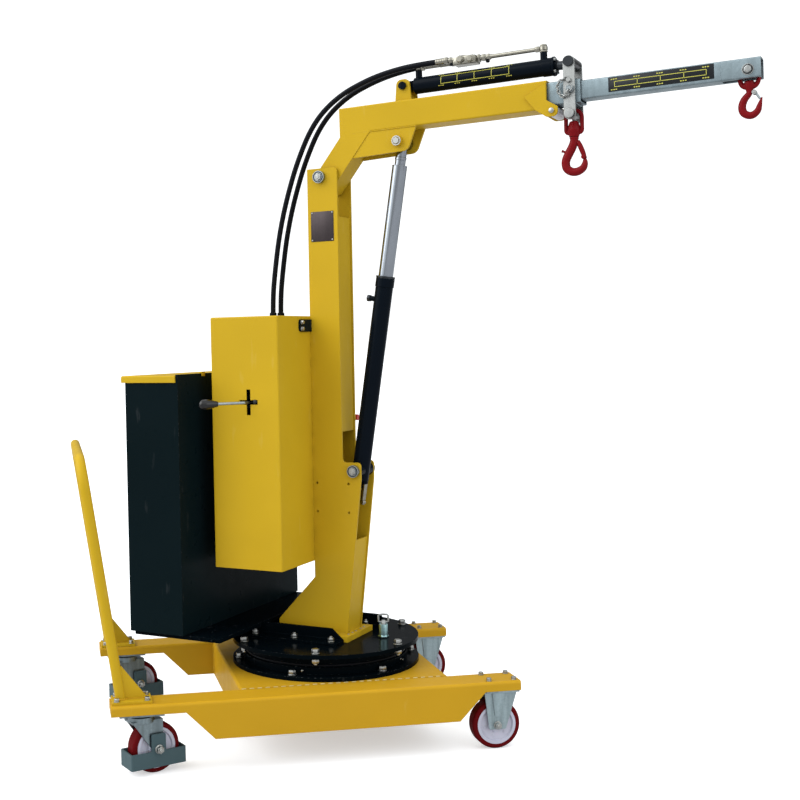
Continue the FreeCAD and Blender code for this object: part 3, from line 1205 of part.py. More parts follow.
for label, (y, foot, rest) in HOSES.items():
    points = [Vec(foot + x, y, hose_foot + z) for x, z in HOSE_LOW]
    points += [Vec(cells.get("pivot_x") + x, y, cells.get("pivot_z") + z) for x, z in rest]
    edges, radii = route(points)
    path = Part.Wire(edges)
    radius = cells.get("hose_radius")
    end = Part.Wire([Part.Circle(points[0], points[1] - points[0], radius).toShape()])
    hose = doc.addObject("Part::Feature", label)
    hose.Label = label
    hose.Shape = path.makePipeShell([end], True, True)
    share = hose.Shape.Volume / (math.pi * radius ** 2 * path.Length)
    print(label, "length", round(path.Length), "radii", radii, "volume share", round(share, 4))
    hose.setExpression("Placement", UPPER)
    NODES.append(hose)

doc.recompute()

bad = []
for item in doc.Objects:
    if "Invalid" in item.State or "Error" in item.State:
        bad.append(f"{item.Name} {item.State}")
for node in NODES:
    if node.Shape.isNull() or not node.Shape.isValid() or len(node.Shape.Solids) != 1:
        bad.append(f"{node.Label} solids {len(node.Shape.Solids)} valid {node.Shape.isValid()}")
if bad:
    raise SystemExit("\n".join(bad))

os.makedirs("parts", exist_ok=True)
for node in NODES:
    node.Shape.exportStep(f"parts/{node.Label}.step")
whole = Part.makeCompound([node.Shape for node in NODES]).optimalBoundingBox()
print(len(NODES), "nodes", whole, "centre", whole.Center)
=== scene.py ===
"""Looks of a mobile slewing workshop crane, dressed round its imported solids.

Details are drawn in millimetres in local frames: the chassis (on the floor under the slew
axis, turned), the turntable (on the upper disc), the boom (at its pivot) and the lift
cylinder (at its lower pivot). The frames scale them to metres.
"""
import json
import math

import bmesh
import bpy
from mathutils import Matrix, Vector


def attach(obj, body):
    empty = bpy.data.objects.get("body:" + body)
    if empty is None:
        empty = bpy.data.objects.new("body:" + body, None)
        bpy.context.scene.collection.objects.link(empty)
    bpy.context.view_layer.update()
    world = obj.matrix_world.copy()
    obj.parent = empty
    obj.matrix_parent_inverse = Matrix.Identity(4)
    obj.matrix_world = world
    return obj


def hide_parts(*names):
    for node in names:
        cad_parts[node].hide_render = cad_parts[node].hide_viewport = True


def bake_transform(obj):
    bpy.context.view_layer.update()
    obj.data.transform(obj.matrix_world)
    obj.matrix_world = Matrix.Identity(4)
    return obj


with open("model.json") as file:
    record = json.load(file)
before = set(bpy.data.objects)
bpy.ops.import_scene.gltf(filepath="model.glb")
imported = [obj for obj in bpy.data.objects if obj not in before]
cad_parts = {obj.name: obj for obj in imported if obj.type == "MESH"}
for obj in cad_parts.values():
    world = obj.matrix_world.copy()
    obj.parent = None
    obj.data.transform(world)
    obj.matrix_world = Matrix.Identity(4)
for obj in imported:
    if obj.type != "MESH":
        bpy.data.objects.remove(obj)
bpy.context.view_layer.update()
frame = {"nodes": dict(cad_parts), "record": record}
NODES = frame["nodes"]
SIGNS = (-1, 1)

# local frames, in millimetres


def moved(base, x=0.0, y=0.0, z=0.0, axis="Z", angle=0.0):
    """A frame at a point of another one, turned about one of its axes."""
    return base @ Matrix.Translation((x, y, z)) @ Matrix.Rotation(math.radians(angle), 4, axis)


SLEW_X = -275.9
SLEW_Y = 73.1
SLEW_TURN = 38.7
DECK_Z = 316
PIVOT_X = 42.4
PIVOT_Z = 1590.8
BOOM_TILT = 0.8
TRUNNION_X = 151.3
TRUNNION_Z = 580.6
LIFT_LEAN = 9.03
WORLD = Matrix.Scale(0.001, 4)
CHASSIS = moved(WORLD, SLEW_X, SLEW_Y, 0, "Z", SLEW_TURN)
UPPER = moved(WORLD, SLEW_X, SLEW_Y, DECK_Z)
BOOM = moved(UPPER, PIVOT_X, 0, PIVOT_Z, "Y", -BOOM_TILT)
LIFT = moved(UPPER, TRUNNION_X, 0, TRUNNION_Z, "Y", LIFT_LEAN)

BEAM_TOP = 228
BEAM_MID = 387
DISC_THICK = 14
RING_Z = 242
RING_HEIGHT = 60
MAST_HALF = 58
BOOM_HALF = 45
JIB_HALF = 37
JIB_AXIS = 185
INNER_HALF = 29.5
INNER_AXIS = 187.2
BOOM_AXIS = 183
EXT_AXIS = 277
EXT_RADIUS = 27
BRACKET_X = 865
HOOK_PIN_Z = 115
TIP_X = 1383
ROLLER = (810, 0, 130)

# light levels of the studio
SKY_LOW = 0.13
SKY_TOP = 1.12
SKY_LEFT = 1.2
SKY_RIGHT = 1.5
SKY_FRONT = 0.45
SKY_SEEN = 1.25
KEY_LIGHT = 1.27
KEY_ANGLE = 55
KEY_AIM = (0.75, 0.55, -0.62)
FLOOR_GLOW = 0.47


class Look:
    """One procedural material and short-hand for its nodes."""

    def __init__(self, name, **sockets):
        self.material = bpy.data.materials.new(name)
        self.material.use_nodes = True
        self.tree = self.material.node_tree
        self.shader = self.tree.nodes["Principled BSDF"]
        for socket, value in sockets.items():
            self.shader.inputs[socket.replace("_", " ")].default_value = value
        self.place = self.node("ShaderNodeTexCoord").outputs["Object"]

    def node(self, kind, settings=(), **inputs):
        made = self.tree.nodes.new(kind)
        for key, value in dict(settings).items():
            setattr(made, key, value)
        for key, value in inputs.items():
            self.feed(made.inputs[key.replace("_", " ")], value)
        return made

    def feed(self, socket, value):
        if isinstance(value, bpy.types.NodeSocket):
            self.tree.links.new(value, socket)
        else:
            socket.default_value = value

    def set(self, socket, value):
        self.feed(self.shader.inputs[socket], value)

    def noise(self, scale, detail=3.0, stretch=(1, 1, 1), rough=0.5):
        """Smooth noise with a number of cells to the metre, stretched along the axes."""
        spread = self.node("ShaderNodeVectorMath", {"operation": "MULTIPLY"})
        self.feed(spread.inputs[0], self.place)
        self.feed(spread.inputs[1], stretch)
        return self.node("ShaderNodeTexNoise", Vector=spread.outputs[0], Scale=scale, Detail=detail,
                         Roughness=rough).outputs["Fac"]

    def cells(self, scale):
        """A value that is level in each cell of a random mosaic."""
        made = self.node("ShaderNodeTexVoronoi", {"feature": "F1"}, Vector=self.place, Scale=scale)
        return self.node("ShaderNodeSeparateColor", Color=made.outputs["Color"]).outputs["Red"]

    def span(self, value, low, high, start=0.0, end=1.0):
        """Maps low to start and high to end, and holds the ends."""
        made = self.node("ShaderNodeMapRange", Value=value)
        for key, number in (("From Min", low), ("From Max", high), ("To Min", start), ("To Max", end)):
            self.feed(made.inputs[key], number)
        return made.outputs["Result"]

    def math(self, operation, first, second):
        made = self.node("ShaderNodeMath", {"operation": operation})
        self.feed(made.inputs[0], first)
        self.feed(made.inputs[1], second)
        return made.outputs[0]

    def mix(self, share, first, second):
        """A colour between two others."""
        made = self.node("ShaderNodeMix", {"data_type": "RGBA"})
        for index, value in ((0, share), (6, first), (7, second)):
            self.feed(made.inputs[index], value)
        return made.outputs[2]

    def rounded(self, radius):
        """The normal of a surface with softened edges, and how near an edge is."""
        soft = self.node("ShaderNodeBevel", {"samples": 4}, Radius=radius).outputs["Normal"]
        dot = self.node("ShaderNodeVectorMath", {"operation": "DOT_PRODUCT"})
        self.feed(dot.inputs[0], soft)
        self.feed(dot.inputs[1], self.node("ShaderNodeNewGeometry").outputs["Normal"])
        return soft, self.span(dot.outputs["Value"], 0.99, 0.8)

    def shade_occlusion(self, reach):
        """How open a point is, by ambient occlusion: low where surfaces meet; used to paint shade into
        corners.
        """
        made = self.node("ShaderNodeAmbientOcclusion", {"samples": 4}, Distance=reach)
        return made.outputs["AO"]

    def bump(self, height, strength, depth, normal=None):
        made = self.node("ShaderNodeBump", Height=height, Strength=strength, Distance=depth)
        if normal is not None:
            self.feed(made.inputs["Normal"], normal)
        self.set("Normal", made.outputs["Normal"])


def rgb(red, green, blue):
    return (red, green, blue, 1.0)


def shade(colour, share):
    return tuple(share * part for part in colour[:3]) + (1.0,)


def paint(name, colour, worn, rough, edge=0.0022, wear=0.5, **sockets):
    """Sprayed enamel: cloudy tone, orange peel, patchy painted shade in corners and worn edges."""
    look = Look(name, **sockets)
    soft, near_edge = look.rounded(edge)
    tone = look.mix(look.span(look.noise(3.5, 2), 0.3, 0.7), shade(colour, 0.92), colour)
    # painted shade: the colour darkens in patches where surfaces meet
    crease_shade = look.span(look.shade_occlusion(0.035), 0.25, 0.85, 0.4, 0.0)
    crease_shade = look.math("MULTIPLY", crease_shade, look.span(look.noise(26, 4), 0.35, 0.65))
    tone = look.mix(crease_shade, tone, shade(colour, 0.42))
    chips = look.span(look.noise(140, 4), 0.56, 0.64)
    chips = look.math("MULTIPLY", look.math("MULTIPLY", near_edge, chips), wear)
    scuffs = look.span(look.noise(38, 6, (1.0, 1.0, 0.18)), 0.66, 0.72, 0.0, 0.10)
    look.set("Base Color", look.mix(look.math("MAXIMUM", chips, scuffs), tone, worn))
    look.set("Roughness", look.span(look.noise(22, 5), 0.3, 0.7, rough, rough + 0.12))
    peel = look.math("ADD", look.noise(420, 2), look.math("MULTIPLY", look.noise(55, 2), 1.5))
    look.bump(peel, 0.16, 0.0004, soft)
    return look.material


def plated(name, colour, low, high, spangle=190, brush=(1, 1, 1), edge=0.0015, streak=0.25):
    """Zinc or machined steel: spangled cells, rolled streaks, fine brushing, painted shade in corners."""
    look = Look(name, Metallic=1.0)
    soft, near_edge = look.rounded(edge)
    cloud = look.noise(14, 4)
    tone = look.mix(look.cells(spangle), shade(colour, 0.86), colour)
    tone = look.mix(look.span(cloud, 0.35, 0.7, 0.0, 0.35), tone, shade(colour, 0.7))
    rolled = look.span(look.noise(48, 3, (1, 1, 0.06)), 0.42, 0.62, 0.0, streak)
    tone = look.mix(rolled, tone, shade(colour, 0.45))
    # painted shade: the metal darkens where surfaces meet
    corner_shade = look.span(look.shade_occlusion(0.02), 0.2, 0.8, 0.7, 0.0)
    tone = look.mix(corner_shade, tone, shade(colour, 0.25))
    bright = shade(colour, 1.35)
    look.set("Base Color", look.mix(look.math("MULTIPLY", near_edge, 0.6), tone, bright))
    grain = look.noise(700, 3, brush)
    dull = look.math("ADD", look.math("MULTIPLY", grain, 0.35), look.math("MULTIPLY", cloud, 0.65))
    look.set("Roughness", look.span(dull, 0.3, 0.7, low, high))
    look.bump(grain, 0.12, 0.0002, soft)
    return look.material


def moulded(name, colour, rough, grain=900, depth=0.0003, **sockets):
    """Moulded plastic or rubber: faint mottling, painted shade in corners, scuffs and a fine grain."""
    look = Look(name, **sockets)
    soft, near_edge = look.rounded(0.0015)
    tone = look.mix(look.span(look.noise(18, 4), 0.3, 0.7), shade(colour, 0.85), colour)
    # painted shade: the colour darkens where surfaces meet
    corner_shade = look.span(look.shade_occlusion(0.02), 0.2, 0.8, 0.55, 0.0)
    tone = look.mix(corner_shade, tone, shade(colour, 0.35))
    scuff = look.math("MULTIPLY", near_edge, look.span(look.noise(120, 4), 0.5, 0.65, 0.0, 0.35))
    look.set("Base Color", look.mix(scuff, tone, shade(colour, 1.5)))
    look.set("Roughness", look.span(look.noise(40, 5), 0.3, 0.7, rough, rough + 0.18))
    look.bump(look.noise(grain, 3), 0.2, depth, soft)
    return look.material


YELLOW = rgb(0.545, 0.350, 0.015)
SHADED_YELLOW = rgb(0.540, 0.305, 0.014)
BLACK = rgb(0.0032, 0.0085, 0.0105)
DEEP_BLACK = rgb(0.0012, 0.0030, 0.0046)
NAVY = rgb(0.0025, 0.0050, 0.0090)
BARE_STEEL = rgb(0.11, 0.115, 0.12)
RUBBED_YELLOW = rgb(0.64, 0.50, 0.17)
yellow = paint("yellow_enamel", YELLOW, RUBBED_YELLOW, 0.36, IOR=1.15, Coat_Weight=0.05, Coat_Roughness=0.12)
# a darker, more orange copy of the yellow enamel for the chassis and its welds: painted shade standing in
# for the shade on the chassis sides
shaded_yellow = paint("chassis_shaded_enamel", SHADED_YELLOW, RUBBED_YELLOW, 0.36, IOR=1.15, Coat_Weight=0.05, Coat_Roughness=0.12)
black = paint("black_satin", BLACK, BARE_STEEL, 0.26, wear=0.6, IOR=1.09)
black_gloss = paint("black_gloss", NAVY, BARE_STEEL, 0.10, wear=0.5, IOR=1.13)
# the deepest black, darker than the tower's black: painted shade on the rails, tray and web low under the
# tower; every edge is worn to bare steel, and these pale edges also stand in for painted glints on the
# discs' rims
disc_black = paint("disc_black", DEEP_BLACK, BARE_STEEL, 0.10, wear=1.0, IOR=1.065)
# lit and shaded copies of one zinc: the lighter one on the front forks is painted light, the darker one on
# the rear castor forks and plates is painted shade
lit_castor_zinc = plated("lit_castor_zinc", rgb(0.40, 0.50, 0.53), 0.28, 0.48, streak=0.6)
shaded_zinc = plated("shaded_zinc", rgb(0.27, 0.335, 0.36), 0.26, 0.46, streak=0.6)
zinc = plated("galvanised", rgb(0.38, 0.43, 0.45), 0.28, 0.48)
tube_zinc = plated("galvanised_tube", rgb(0.275, 0.345, 0.375), 0.36, 0.54, 90, (0.06, 1, 1))
bright_zinc = plated("bracket_zinc", rgb(0.44, 0.455, 0.445), 0.26, 0.42, 300)
blue_zinc = plated("blue_zinc", rgb(0.50, 0.78, 0.80), 0.22, 0.4, 400)
bolt_zinc = plated("plated_bolts", rgb(0.47, 0.48, 0.46), 0.22, 0.42, 400)
fitting = plated("fittings", rgb(0.36, 0.345, 0.29), 0.14, 0.30, 60)
chrome = plated("chromed_rod", rgb(0.34, 0.37, 0.41), 0.06, 0.13, 900, (1, 1, 0.05), streak=0.05)
dark_steel = plated("oiled_steel", rgb(0.05, 0.055, 0.06), 0.22, 0.4, 500)
hook_red = paint("red_enamel", rgb(0.190, 0.006, 0.009), rgb(0.26, 0.07, 0.07), 0.20, 0.0015, IOR=1.16)
guard_grey = paint("grey_enamel", rgb(0.060, 0.100, 0.112), rgb(0.20, 0.23, 0.23), 0.38, IOR=1.25)
hub_white = moulded("nylon", rgb(0.56, 0.555, 0.66), 0.34, Subsurface_Weight=0.05)
roller_pale = moulded("roller_nylon", rgb(0.72, 0.73, 0.75), 0.3)
tyre_red = moulded("polyurethane", rgb(0.115, 0.0050, 0.0065), 0.32, 300, 0.0005, IOR=1.08)
rubber = moulded("hose_rubber", rgb(0.004, 0.005, 0.008), 0.30, 1200, IOR=1.18)
knob_black = moulded("knob", rgb(0.008, 0.008, 0.009), 0.12, IOR=1.45)
button_red = moulded("button", rgb(0.42, 0.012, 0.012), 0.2)
chart_black = moulded("chart", rgb(0.012, 0.014, 0.017), 0.3, IOR=1.3)
line_yellow = moulded("print_yellow", rgb(0.58, 0.56, 0.08), 0.4)
seam_pale = moulded("weld_pale", rgb(0.66, 0.53, 0.22), 0.4)
blank_dark = plated("blank_plate", rgb(0.075, 0.062, 0.064), 0.32, 0.5, 500, (0.05, 1, 1))

LOOKS = {
    "yellow_paint": yellow, "black_paint": black, "zinc": zinc, "chrome": chrome, "hub_nylon": hub_white,
    "tyre_red": tyre_red, "hook_red": hook_red, "guard_grey": guard_grey, "knob_black": knob_black,
    "button_red": button_red, "chart_black": chart_black, "hose_rubber": rubber,
}
SPECIAL = {
    "jib_tube": tube_zinc, "inner_tube": tube_zinc, "extension_rod": dark_steel, "lever_valve": black,
    "lever_yoke": black, "valve_block": fitting, "lock_tube": blue_zinc, "lock_pin": bright_zinc,
    "jib_bracket": bright_zinc, "upper_disc": disc_black, "lower_disc": disc_black,
    "slewing_ring": disc_black, "lift_barrel": black_gloss, "extension_barrel": black_gloss,
    "crossmember": shaded_yellow,
}
for side in ("near", "far"):
    SPECIAL[f"beam_{side}"] = shaded_yellow
    SPECIAL[f"rail_{side}"] = disc_black
    SPECIAL[f"front_fork_{side}"] = lit_castor_zinc
    for kind in ("castor_fork", "castor_plate"):
        SPECIAL[f"{kind}_{side}"] = shaded_zinc
for row in frame["record"]["subparts"]:
    node = NODES[row["node"]]
    node.data.materials.clear()
    node.data.materials.append(SPECIAL.get(row["node"], LOOKS[row["material_slot"]]))

# mesh pieces

ALONG = {
    "x": (1, 0, 0), "y": (0, 1, 0), "z": (0, 0, 1),
    "-x": (-1, 0, 0), "-y": (0, -1, 0), "-z": (0, 0, -1),
}
SMOOTH_ANGLE = math.radians(38)


def towards(axis):
    """The turn that takes +Z to an axis, given by name or as a vector."""
    return Vector((0, 0, 1)).rotation_difference(Vector(ALONG.get(axis, axis))).to_matrix()


def outward(sign):
    """The name of the axis that points away from the middle."""
    return "y" if sign > 0 else "-y"


def circle(radius, height, at, turn, sides):
    """Corners of a circle about a turned axis through a point."""
    ring = []
    for i in range(sides):
        angle = 2 * math.pi * (i + 0.5) / sides
        corner = Vector((radius * math.cos(angle), radius * math.sin(angle), height))
        ring.append(turn @ corner + Vector(at))
    return ring


class Piece:
    """Solids in one local frame, joined into one mesh."""

    def __init__(self):
        self.mesh = bmesh.new()

    def skin(self, rings, closed=False):
        """Faces between rings of corners; a ring of one corner is a tip."""
        made = [[self.mesh.verts.new(point) for point in ring] for ring in rings]
        pairs = list(zip(made, made[1:]))
        if closed:
            pairs.append((made[-1], made[0]))
        for low, high in pairs:
            count = max(len(low), len(high))
            for i in range(count):
                j = (i + 1) % count
                if len(low) == 1:
                    corners = (low[0], high[j], high[i])
                elif len(high) == 1:
                    corners = (low[i], low[j], high[0])
                else:
                    corners = (low[i], low[j], high[j], high[i])
                self.mesh.faces.new(corners)
        if not closed:
            for ring, turn in ((made[0], -1), (made[-1], 1)):
                if len(ring) > 2:
                    self.mesh.faces.new(ring[::turn])

    def lathe(self, profile, at, axis="z", sides=20):
        """A profile of (radius, height) turned about an axis through a point."""
        turn = towards(axis)
        rings = []
        for radius, height in profile:
            if radius == 0:
                rings.append([turn @ Vector((0, 0, height)) + Vector(at)])
            else:
                rings.append(circle(radius, height, at, turn, sides))
        self.skin(rings)

    def band(self, outer, inner, low, high, at, axis="z", sides=24):
        """A ring with a hole, its outer corners softened."""
        soft = 0.15 * (high - low)
        turn = towards(axis)
        loop = (
            (inner, low), (outer - soft, low), (outer, low + soft),
            (outer, high - soft), (outer - soft, high), (inner, high),
        )
        self.skin([circle(radius, height, at, turn, sides) for radius, height in loop], closed=True)

    def bolt(self, at, axis, across, stud=False):
        """A hexagon head or nut on its washer; across is its width over the flats."""
        s = across
        washer = [
            (0, 0), (0.62 * s, 0), (0.64 * s, 0.03 * s),
            (0.64 * s, 0.12 * s), (0.6 * s, 0.15 * s), (0, 0.15 * s),
        ]
        self.lathe(washer, at, axis)
        self.hexagon(at, axis, s, 0.15 * s, 0.72 * s)
        if stud:
            end = [(0, 0.7 * s), (0.3 * s, 0.7 * s), (0.3 * s, 0.94 * s), (0.25 * s, s), (0, s)]
            self.lathe(end, at, axis, 14)

    def hexagon(self, at, axis, across, low, high):
        """A six-sided body with softened ends."""
        corner = across / math.sqrt(3)
        soft = 0.1 * across
        profile = [
            (0, low), (0.93 * corner, low), (corner, low + soft),
            (corner, high - soft), (0.9 * corner, high), (0, high),
        ]
        self.lathe(profile, at, axis, 6)

    def sweep(self, points, radii, sides=10, closed=False):
        """A round section carried along a chain of points; radii is one number or one for each point."""
        points = [Vector(point) for point in points]
        count = len(points)
        if not hasattr(radii, "__len__"):
            radii = [radii] * count
        rings = []
        side = None
        for i, point in enumerate(points):
            before = points[i - 1] if closed or i else point
            after = points[(i + 1) % count] if closed or i < count - 1 else point
            run = (after - before).normalized()
            if side is None:
                side = run.orthogonal()
            side = (side - run * side.dot(run)).normalized()
            other = run.cross(side)
            ring = []
            for k in range(sides):
                angle = 2 * math.pi * k / sides
                ring.append(point + radii[i] * (math.cos(angle) * side + math.sin(angle) * other))
            rings.append(ring)
        self.skin(rings, closed)

    def weld(self, start, end, radius, pitch=4.0):
        """A rippled weld bead along a straight line."""
        start, end = Vector(start), Vector(end)
        count = max(4, 2 * round((end - start).length / pitch))
        points = [start.lerp(end, i / count) for i in range(count + 1)]
        radii = [radius * (1.0 if i % 2 else 0.78) for i in range(count + 1)]
        radii[0] = radii[-1] = 0.4 * radius
        self.sweep(points, radii, 8)

    def stitches(self, start, end, long, gap, radius):
        """A row of short weld beads."""
        start, end = Vector(start), Vector(end)
        run = (end - start).normalized()
        count = int((end - start).length // (long + gap))
        for i in range(count):
            first = start + run * (i * (long + gap) + gap / 2)
            self.weld(first, first + run * long, radius)

    def slab(self, low, high, soft=1.0):
        """A box with softened edges."""
        middle = (Vector(low) + Vector(high)) / 2
        size = Vector(high) - Vector(low)
        made = bmesh.ops.create_cube(self.mesh, size=1.0,
                                     matrix=Matrix.Translation(middle) @ Matrix.Diagonal((*size, 1.0)))
        if soft:
            edges = {edge for corner in made["verts"] for edge in corner.link_edges}
            bmesh.ops.bevel(self.mesh, geom=list(edges), offset=soft, segments=2, affect="EDGES",
                            profile=0.5)

    def make(self, name, base, body, look, slot):
        """The finished object, in metres, riding on its body."""
        data = bpy.data.meshes.new(name)
        bmesh.ops.recalc_face_normals(self.mesh, faces=self.mesh.faces)
        self.mesh.to_mesh(data)
        self.mesh.free()
        data.transform(base)
        data.shade_smooth()
        data.set_sharp_from_angle(angle=SMOOTH_ANGLE)
        data.materials.append(look)
        made = bpy.data.objects.new(name, data)
        bpy.context.scene.collection.objects.link(made)
        if body:
            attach(made, body)
        return made


def round_at(radius, degrees):
    """A point on a circle about the local Z axis."""
    angle = math.radians(degrees)
    return radius * math.cos(angle), radius * math.sin(angle)


def spline_points(name, controls):
    """Points along a NURBS spline with these control points."""
    data = bpy.data.curves.new(f"{name}_route", "CURVE")
    data.dimensions = "3D"
    spline = data.splines.new("NURBS")
    spline.points.add(len(controls) - 1)
    for point, control in zip(spline.points, controls):
        point.co = (*control, 1.0)
    spline.order_u = 3
    spline.use_endpoint_u = True
    spline.resolution_u = 16
    route = bpy.data.objects.new(f"{name}_route", data)
    bpy.context.scene.collection.objects.link(route)
    shape = bpy.data.meshes.new_from_object(route)
    points = [corner.co.copy() for corner in shape.vertices]
    bpy.data.objects.remove(route)
    return points


# slewing ring: bolts through the upper disc, bolts in the lower one, seal and grease nipples
BOLT_CIRCLE = 303
DISC_TURNS = (-130, -70, -10, 50, 110, 170)
DISC_ACROSS = 23
RAIL_BOLT_X = (-200, -47, 92)
RAIL_BOLT_Y = 143
RAIL_FOOT = 8
RAIL_ACROSS = 19
bolts = Piece()
for degrees in DISC_TURNS:
    x, y = round_at(BOLT_CIRCLE, degrees)
    bolts.bolt((x, y, 0), "z", DISC_ACROSS)
    bolts.bolt((x, y, -DISC_THICK), "-z", DISC_ACROSS, stud=True)
for x in RAIL_BOLT_X:
    for sign in SIGNS:
        bolts.bolt((x, sign * RAIL_BOLT_Y, RAIL_FOOT), "z", RAIL_ACROSS, stud=True)
bolts.make("disc_bolts", UPPER, "turntable", bolt_zinc, "zinc")
nuts = Piece()
for degrees in DISC_TURNS:
    x, y = round_at(BOLT_CIRCLE, degrees + 6)
    nuts.bolt((x, y, RING_Z), "z", DISC_ACROSS)
nuts.make("lower_disc_bolts", CHASSIS, "chassis", bolt_zinc, "zinc")
seal = Piece()
seal.band(282.5, 276, -3.0, 3.0, (0, 0, RING_Z + RING_HEIGHT / 2), sides=96)
seal.make("ring_seal", CHASSIS, "chassis", rubber, "black_paint")
nipples = Piece()
for degrees in (-118, -40, 60, 140):
    x, y = round_at(286, degrees)
    nipples.lathe([(0, 0), (4, 0), (4, 4), (2.2, 5), (2.2, 8), (3, 9.5), (1.5, 12), (0, 12)],
                  (x, y, RING_Z + 12), (x, y, 0), 12)
nipples.make("grease_nipples", CHASSIS, "chassis", fitting, "zinc")

# chassis: castor bolts, foot bolts, stitched seams and corner welds
FRONT_AXLE = 477
CASTOR_X = -680
CASTOR_TRAIL = 40
CASTOR_YAW = 20
AXLE_Z = 80
FOOT_Y = 380
FOOT_X = -741
FOOT_TOP = BEAM_TOP + 8
fixings = Piece()
for sign in SIGNS:
    for across in SIGNS:
        for x in (FRONT_AXLE - 29, FRONT_AXLE + 55):
            fixings.bolt((x, sign * BEAM_MID + across * 38, BEAM_TOP), "z", 14)
        for x in (FOOT_X - 15, FOOT_X + 80):
            fixings.bolt((x, sign * FOOT_Y + across * 33, FOOT_TOP), "z", 15)
        fixings.bolt((FRONT_AXLE, sign * BEAM_MID + across * 33, AXLE_Z), outward(across), 20, stud=True)
fixings.make("chassis_bolts", CHASSIS, "chassis", bolt_zinc, "zinc")

INNER_Y = 329
CROSS_FRONT = 341
CROSS_REAR = -356
seams = Piece()
for sign in SIGNS:
    y = sign * (INNER_Y + 0.5)
    seams.stitches((CROSS_REAR, y, BEAM_TOP - 1), (CROSS_FRONT, y, BEAM_TOP - 1), 15, 11, 2.2)
seams.make("stitched_seams", CHASSIS, "chassis", seam_pale, "yellow_paint")
joins = Piece()
TUBE_RADIUS = 16.5
for sign in SIGNS:
    for x in (CROSS_REAR, CROSS_FRONT):
        y = sign * (INNER_Y - 1)
        joins.weld((x, y, BEAM_TOP - 14), (x, y, BEAM_TOP - 112), 3.5)
    for side in SIGNS:
        y = sign * FOOT_Y + side * 4.5
        joins.weld((FOOT_X + 20, y, FOOT_TOP + 0.5), (FOOT_X + 78, y, FOOT_TOP + 0.5), 2.6)
    collar = []
    for k in range(24):
        x, y = round_at(TUBE_RADIUS + 3, 15 * k)
        collar.append((FOOT_X + x, sign * FOOT_Y + y, FOOT_TOP + 1))
    joins.sweep(collar, 3, 8, closed=True)
joins.make("chassis_welds", CHASSIS, "chassis", shaded_yellow, "yellow_paint")

# castors: axle nuts on the swivelling forks, bearing rings and bosses on the hubs
for side, sign in (("near", -1), ("far", 1)):
    swivel = moved(moved(CHASSIS, CASTOR_X, sign * BEAM_MID, 0), angle=CASTOR_YAW)
    axle_nuts = Piece()
    for across in SIGNS:
        axle_nuts.bolt((CASTOR_TRAIL, across * 43, AXLE_Z), outward(across), 22, stud=True)
    axle_nuts.make(f"castor_nuts_{side}", swivel, f"castor_{side}", bolt_zinc, "zinc")
    wheels = ((f"castor_wheel_{side}", moved(swivel, CASTOR_TRAIL, 0, AXLE_Z)),
              (f"front_wheel_{side}", moved(CHASSIS, FRONT_AXLE, sign * BEAM_MID, AXLE_Z)))
    for body, base in wheels:
        caps = Piece()
        for across in SIGNS:
            caps.band(18.5, 10.5, 26.5, 28.6, (0, 0, 0), outward(across), 32)
            caps.band(64.5, 55.0, 23.4, 24.6, (0, 0, 0), outward(across), 64)
            for k in range(6):
                x, z = round_at(39, 60 * k + 15)
                caps.lathe([(0, 0), (5.5, 0), (4.8, 1.0), (0, 1.2)], (x, across * 18, z),
                           outward(across), 14)
        caps.make(f"{body}_caps", base, body, hub_white, "hub_nylon")

# mast: pivot pin heads, hanger bolts, foot welds, blank plate
mast_bolts = Piece()
rims = Piece()
for sign in SIGNS:
    for x, z in ((PIVOT_X, PIVOT_Z), (TRUNNION_X, TRUNNION_Z)):
        at = (x, sign * (MAST_HALF + 14), z)
        mast_bolts.hexagon(at, outward(sign), 23, 0, 4.5)
        mast_bolts.lathe([(0, 4.5), (7, 4.5), (6, 6), (0, 6)], at, outward(sign), 16)
        rims.band(18.6, 15.2, -0.2, 0.7, at, outward(sign), 40)
    for z in (1071, 1093):
        mast_bolts.bolt((0, sign * 133, z), "x", 12)
mast_bolts.make("mast_bolts", UPPER, "turntable", bolt_zinc, "zinc")
rims.make("pin_rims", UPPER, "turntable", dark_steel, "zinc")
foot = Piece()
BASE_TOP = 19
for sign in SIGNS:
    foot.weld((-149, sign * MAST_HALF, BASE_TOP), (114, sign * MAST_HALF, BASE_TOP), 3.6)
foot.weld((113, -46, BASE_TOP), (113, 46, BASE_TOP), 3.6)
foot.make("mast_foot_welds", UPPER, "turntable", yellow, "yellow_paint")
# plug welds on the base plate in pale bracket zinc: their bright colour is a painted highlight on the weld
# domes
plugs = Piece()
for x, y in ((121, -64), (122, -34), (122, -6), (121, 64), (122, 34)):
    plugs.lathe([(0, 0), (4.2, 0), (3.4, 1.6), (0, 2.4)], (x, y, BASE_TOP), "z", 14)
plugs.make("base_plug_welds", UPPER, "turntable", bright_zinc, "zinc")
plate = Piece()
plate.slab((6, -MAST_HALF - 1.2, 1370), (92, -MAST_HALF + 0.1, 1473), 0.4)
plate.make("blank_plate", UPPER, "turntable", blank_dark, "chart_black")
rivets = Piece()
for x in (11, 87):
    for z in (1375, 1468):
        rivets.lathe([(0, 0), (3, 0), (2.4, 1.0), (0, 1.5)], (x, -MAST_HALF - 1.2, z), "-y", 12)
rivets.make("plate_rivets", UPPER, "turntable", bolt_zinc, "zinc")

